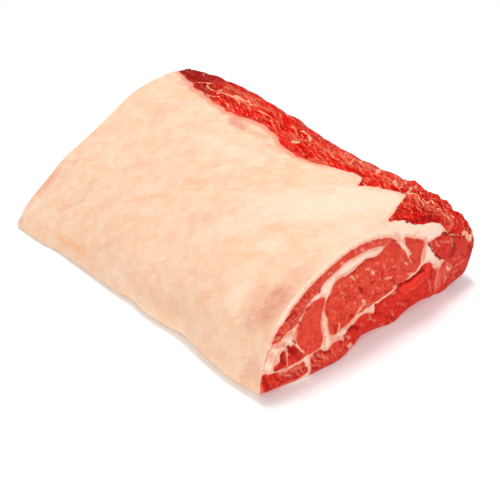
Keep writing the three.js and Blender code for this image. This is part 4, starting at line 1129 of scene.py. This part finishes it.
FAT_IN_LEAN = colour(246, 128, 96)
LEANS = {
    # slot, middle colour, light, dark and deepest, share of flecks, bundles a metre, share of torn grain
    "eye_muscle": ("eye_lean", (213, 42, 27), (236, 88, 63), (176, 12, 7), (160, 8, 4), 0.36, 620, 0.16),
    "wedge_muscle": ("eye_lean", (208, 44, 28), (226, 78, 58), (166, 14, 8), (150, 8, 4), 0.25, 640, 0.15),
    "side_muscle": ("eye_lean", (217, 54, 40), (234, 88, 68), (184, 20, 12), (170, 10, 6), 0.16, 680, 0.2),
    "cap_muscle": ("cap_lean", (208, 49, 35), (232, 88, 68), (178, 18, 10), (160, 10, 6), 0.35, 600, 0.0),
    "lip_muscle": ("cap_lean", (204, 26, 15), (226, 66, 48), (170, 8, 4), (156, 7, 4), 0.15, 600, 0.4),
    "rib_lean_lip": ("rib_lean", (208, 22, 13), (228, 64, 44), (176, 9, 5), (162, 7, 4), 0.25, 560, 0.8),
    "rib_lean_middle": ("rib_lean", (208, 36, 25), (232, 80, 62), (176, 11, 6), (160, 8, 4), 0.2, 560, 0.7),
    "rib_lean_chine": ("rib_lean", (208, 29, 18), (228, 56, 40), (178, 8, 4), (160, 6, 3), 0.12, 540, 0.35),
    "chine_lean": ("rib_lean", (204, 32, 18), (224, 62, 44), (164, 7, 4), (138, 6, 3), 0.18, 540, 0.3),
}
for name, (slot, *reds, flecks, bundles, torn_share) in LEANS.items():
    middle, light, dark, deepest = (colour(*red) for red in reds)
    finish, tree, skin = new_finish(name + "_lean")
    place = add(tree, "TexCoord").outputs["Object"]
    grained = add(tree, "Group")
    grained.node_tree = grain
    tree.links.new(place, grained.inputs["Place"])
    grained.inputs["Bundles"].default_value = bundles
    grained.inputs["Flecks"].default_value = flecks
    grained.inputs["Torn"].default_value = torn_share
    if name == "cap_muscle":
        towards_lip = add(tree, "SeparateXYZ", {"Vector": place}).outputs["X"]
        tree.links.new(spread(tree, towards_lip, -0.05, -0.075, 0.15, 0.8), grained.inputs["Torn"])
    shade = blended(tree, grained.outputs["Light"], middle, light)
    shade = blended(tree, grained.outputs["Dark"], shade, dark)
    if name == "chine_lean":
        uncut = reckoned(tree, "SUBTRACT", 1.0, measure(tree, "cut"))
        strands = noise(tree, stretched(tree, place, (0.003, 0.028, 0.0022)), 1.0, 3, 0.65, 0.8)
        bright = times(tree, spread(tree, strands, 0.53, 0.62, 0.0, 0.6), uncut)
        shade = blended(tree, bright, shade, colour(240, 104, 78))
        shade = blended(tree, times(tree, spread(tree, strands, 0.46, 0.38, 0.0, 0.75), uncut), shade, dark)
    shade = blended(tree, measure(tree, "warm"), shade, colour(255, 56, 42))
    shade = blended(tree, measure(tree, "blush_and_shade"), shade, colour(236, 116, 92))
    shade = blended(tree, grained.outputs["Fleck"], shade, FAT_IN_LEAN)
    by_seam = spread(tree, measure(tree, "inside"), 0.0, 1.0, 0.3, 0.0)
    shade = blended(tree, by_seam, shade, colour(226, 110, 84))
    # dark marks: darker lean, and painted shade in the open grain and the clefts
    shade = blended(tree, times(tree, measure(tree, "deep"), 0.95), shade, deepest)
    shade = blended(tree, times(tree, measure(tree, "pale"), 0.9), shade, colour(250, 192, 162))
    shade = blended(tree, spread(tree, measure(tree, "pale"), 0.72, 0.95), shade, colour(252, 226, 190))
    tree.links.new(shade, skin.inputs["Base Color"])
    tree.links.new(spread(tree, grained.outputs["Height"], 0.5, 1.1, 0.34, 0.5), skin.inputs["Roughness"])
    bump = add(tree, "Bump", {"Height": grained.outputs["Height"], "Distance": 0.0006, "Strength": 0.6})
    tree.links.new(bump.outputs["Normal"], skin.inputs["Normal"])
    skin.inputs["Specular IOR Level"].default_value = 0.035
    skin.inputs["Subsurface Weight"].default_value = 0.06
    skin.inputs["Subsurface Radius"].default_value = (1.0, 0.3, 0.2)
    skin.inputs["Subsurface Scale"].default_value = 0.0015
    pieces[name].data.materials.append(finish)
    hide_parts(name)
    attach(pieces[name], "root")

# The bare lean on the chine shoulder: torn strands that run along the roast, bright and dark red by turns,
# with threads of fat and silverskin between them; it dries to maroon at the far end.
finish, tree, skin = new_finish("torn_lean")
place = add(tree, "TexCoord").outputs["Object"]
parts = add(tree, "SeparateXYZ", {"Vector": place}).outputs
run = add(tree, "CombineXYZ", {"X": times(tree, measure(tree, "arc"), MM), "Y": parts["Y"]}).outputs["Vector"]
coarse = noise(tree, stretched(tree, run, (0.0036, 0.03, 1), (0, 0, -0.2)), 1.0, 3, 0.6, 0.6)
fine = noise(tree, stretched(tree, run, (0.0013, 0.011, 1), (0, 0, -0.25)), 1.0, 3, 0.65, 0.9)
torn = noise(tree, place, 340, 3, 0.65, 0.8)
patches = noise(tree, stretched(tree, run, (0.014, 0.03, 1)), 1.0, 3, 0.6, 0.4)
near_front = spread(tree, parts["Y"], -0.1, -0.125)
crumbs = spread(tree, cell_edges(tree, place, 330.0), 0.1, 0.02)
shade = blended(tree, spread(tree, coarse, 0.4, 0.62), colour(224, 12, 5), colour(240, 42, 24))
shade = blended(tree, spread(tree, patches, 0.5, 0.36, 0.0, 0.75), shade, colour(176, 8, 4))
shade = blended(tree, measure(tree, "warm"), shade, colour(240, 118, 88))
shade = blended(tree, spread(tree, fine, 0.53, 0.61, 0.0, 0.76), shade, colour(249, 142, 108))
shade = blended(tree, spread(tree, fine, 0.45, 0.37, 0.0, 0.75), shade, colour(164, 8, 4))
shade = blended(tree, times(tree, spread(tree, torn, 0.6, 0.68), near_front, 0.5), shade, colour(248, 96, 70))
shade = blended(tree, times(tree, spread(tree, torn, 0.46, 0.38), near_front), shade, colour(200, 8, 5))
shade = blended(tree, times(tree, crumbs, near_front, 0.4), shade, colour(178, 6, 3))
shade = blended(tree, spread(tree, parts["Y"], 0.06, 0.15, 0.0, 0.82), shade, colour(136, 12, 7))
# dark marks and grooves: dark lean, with painted shade in the grooves and clefts
shade = blended(tree, times(tree, measure(tree, "deep"), 0.8), shade, colour(160, 5, 3))
thread = reckoned(tree, "ADD", measure(tree, "pale"), reckoned(tree, "SUBTRACT", fine, 0.5))
shade = blended(tree, spread(tree, thread, 0.36, 0.64), shade, colour(251, 174, 138))
edge = reckoned(tree, "ADD", measure(tree, "inside"), times(tree, torn, 4.0))
soft_edge = times(tree, spread(tree, edge, 1.0, 7.0, 0.75, 0.0), spread(tree, parts["Y"], -0.062, -0.045))
shade = blended(tree, soft_edge, shade, colour(238, 132, 106))
shade = blended(tree, spread(tree, edge, 1.6, 3.4, 0.6, 0.0), shade, colour(226, 110, 84))
tree.links.new(shade, skin.inputs["Base Color"])
skin.inputs["Roughness"].default_value = 0.4
skin.inputs["Specular IOR Level"].default_value = 0.02
height = reckoned(tree, "ADD", reckoned(tree, "ADD", coarse, fine), torn)
bump = add(tree, "Bump", {"Height": height, "Distance": 0.0012, "Strength": 0.7})
tree.links.new(bump.outputs["Normal"], skin.inputs["Normal"])
skin.inputs["Subsurface Weight"].default_value = 0.06
skin.inputs["Subsurface Radius"].default_value = (1.0, 0.3, 0.2)
skin.inputs["Subsurface Scale"].default_value = 0.0015
pieces["back_lean"].data.materials.append(finish)
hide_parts("back_lean")
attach(pieces["back_lean"], "root")

# The fat: one cream cap over the top and the lip, and the pinker seams that wrap the muscles inside. The
# cap is smooth and firm, streaked where the knife laid it flat, and stained amber and rose in places; by the
# front cut its rose patches on the lip side are painted shade and its pale patches on the top painted light.
finish, tree, skin = new_finish("fat")
place = add(tree, "TexCoord").outputs["Object"]
LAID = (1.0, -0.183, -0.621)  # how the knife's strokes are turned about the three axes
SCORED = (0.783, -0.723, -0.151)
broad = noise(tree, place, 24, 3, 0.55)
blotches = noise(tree, place, 85, 4, 0.65)
streaks = noise(tree, stretched(tree, place, (0.03, 0.0034, 0.02), LAID), 1.0, 3, 0.6, 0.9)
wisps = noise(tree, stretched(tree, place, (0.013, 0.0015, 0.01), LAID), 1.0, 3, 0.6, 0.8)
scored = noise(tree, stretched(tree, place, (0.017, 0.003, 0.012), SCORED), 1.0, 2, 0.5, 0.5)
fine = noise(tree, place, 300, 3, 0.6)
streaked = spread(tree, broad, 0.42, 0.58)
cap = blended(tree, spread(tree, blotches, 0.35, 0.65), colour(244, 198, 164), colour(249, 211, 182))
# thick white fat, and painted light on the top of the cap near the front cut
cap = blended(tree, measure(tree, "milky_and_lit"), cap, colour(253, 224, 198))
cap = blended(tree, measure(tree, "amber"), cap, colour(250, 188, 142))
# pink where the lean shows through thin fat, and painted shade on the lip side by the front cut
cap = blended(tree, measure(tree, "rosy_and_shade"), cap, colour(223, 153, 130))
wide_streaks = times(tree, spread(tree, streaks, 0.54, 0.7, 0.0, 0.42), streaked)
thin_streaks = times(tree, spread(tree, wisps, 0.58, 0.72, 0.0, 0.35), streaked)
cap = blended(tree, wide_streaks, cap, colour(244, 180, 148))
cap = blended(tree, thin_streaks, cap, colour(240, 172, 140))
cap = blended(tree, spread(tree, wisps, 0.42, 0.28, 0.0, 0.45), cap, colour(254, 238, 220))
cap = blended(tree, spread(tree, fine, 0.42, 0.28, 0.0, 0.35), cap, colour(236, 190, 160))
score = reckoned(tree, "ABSOLUTE", reckoned(tree, "SUBTRACT", scored, 0.5))
score = times(tree, spread(tree, score, 0.011, 0.004), spread(tree, blotches, 0.6, 0.68), 0.6)
cap = blended(tree, score, cap, colour(196, 150, 122))
seam = blended(tree, spread(tree, fine, 0.3, 0.7), colour(240, 172, 148), colour(247, 196, 172))
seam = blended(tree, spread(tree, measure(tree, "inside"), 1.6, 4.2, 0.0, 0.9), seam, colour(251, 220, 197))
crumb = noise(tree, place, 560, 2, 0.6, 0.4)
by_lean = reckoned(tree, "ADD", measure(tree, "inside"), times(tree, crumb, 2.4))
seam = blended(tree, spread(tree, by_lean, 1.0, 2.2, 0.75, 0.0), seam, colour(224, 94, 72))
pink = times(tree, spread(tree, crumb, 0.5, 0.62, 0.0, 0.55), spread(tree, measure(tree, "inside"), 5.0, 2.0))
seam = blended(tree, pink, seam, colour(238, 150, 126))
# pink fat, and painted shade at the left end of the fat roll under the crags
seam = blended(tree, measure(tree, "blush_and_shade"), seam, colour(224, 136, 112))
seam = blended(tree, measure(tree, "pale"), seam, colour(250, 210, 192))
# dark marks on the seams: painted shadow under the crags along the top of the fat roll, and painted shade in
# the clefts
seam = blended(tree, spread(tree, measure(tree, "deep"), 0.05, 0.7), seam, colour(150, 14, 8))
seam = blended(tree, measure(tree, "warm"), seam, colour(222, 60, 34))
shade = blended(tree, measure(tree, "cut"), cap, seam)
past_front = spread(tree, add(tree, "SeparateXYZ", {"Vector": place}).outputs["Y"], -0.07, -0.045, 0.3, 1.0)
uncut = reckoned(tree, "SUBTRACT", 1.0, measure(tree, "cut"))
beside = reckoned(tree, "ADD", measure(tree, "inside"), times(tree, wisps, 3.0))
beside = times(tree, spread(tree, beside, 1.0, 6.0, 0.9, 0.0), uncut, past_front)
shade = blended(tree, beside, shade, colour(238, 146, 122))
tree.links.new(shade, skin.inputs["Base Color"])
skin.inputs["Roughness"].default_value = 0.5
skin.inputs["Specular IOR Level"].default_value = 0.12
height = reckoned(tree, "ADD", fine, streaks)
bump = add(tree, "Bump", {"Height": height, "Distance": 0.0006, "Strength": 0.35})
tree.links.new(bump.outputs["Normal"], skin.inputs["Normal"])
skin.inputs["Subsurface Weight"].default_value = 0.2
skin.inputs["Subsurface Radius"].default_value = (1.0, 0.6, 0.4)
skin.inputs["Subsurface Scale"].default_value = 0.004
pieces["fat"].data.materials.append(finish)
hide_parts("fat")
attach(pieces["fat"], "root")
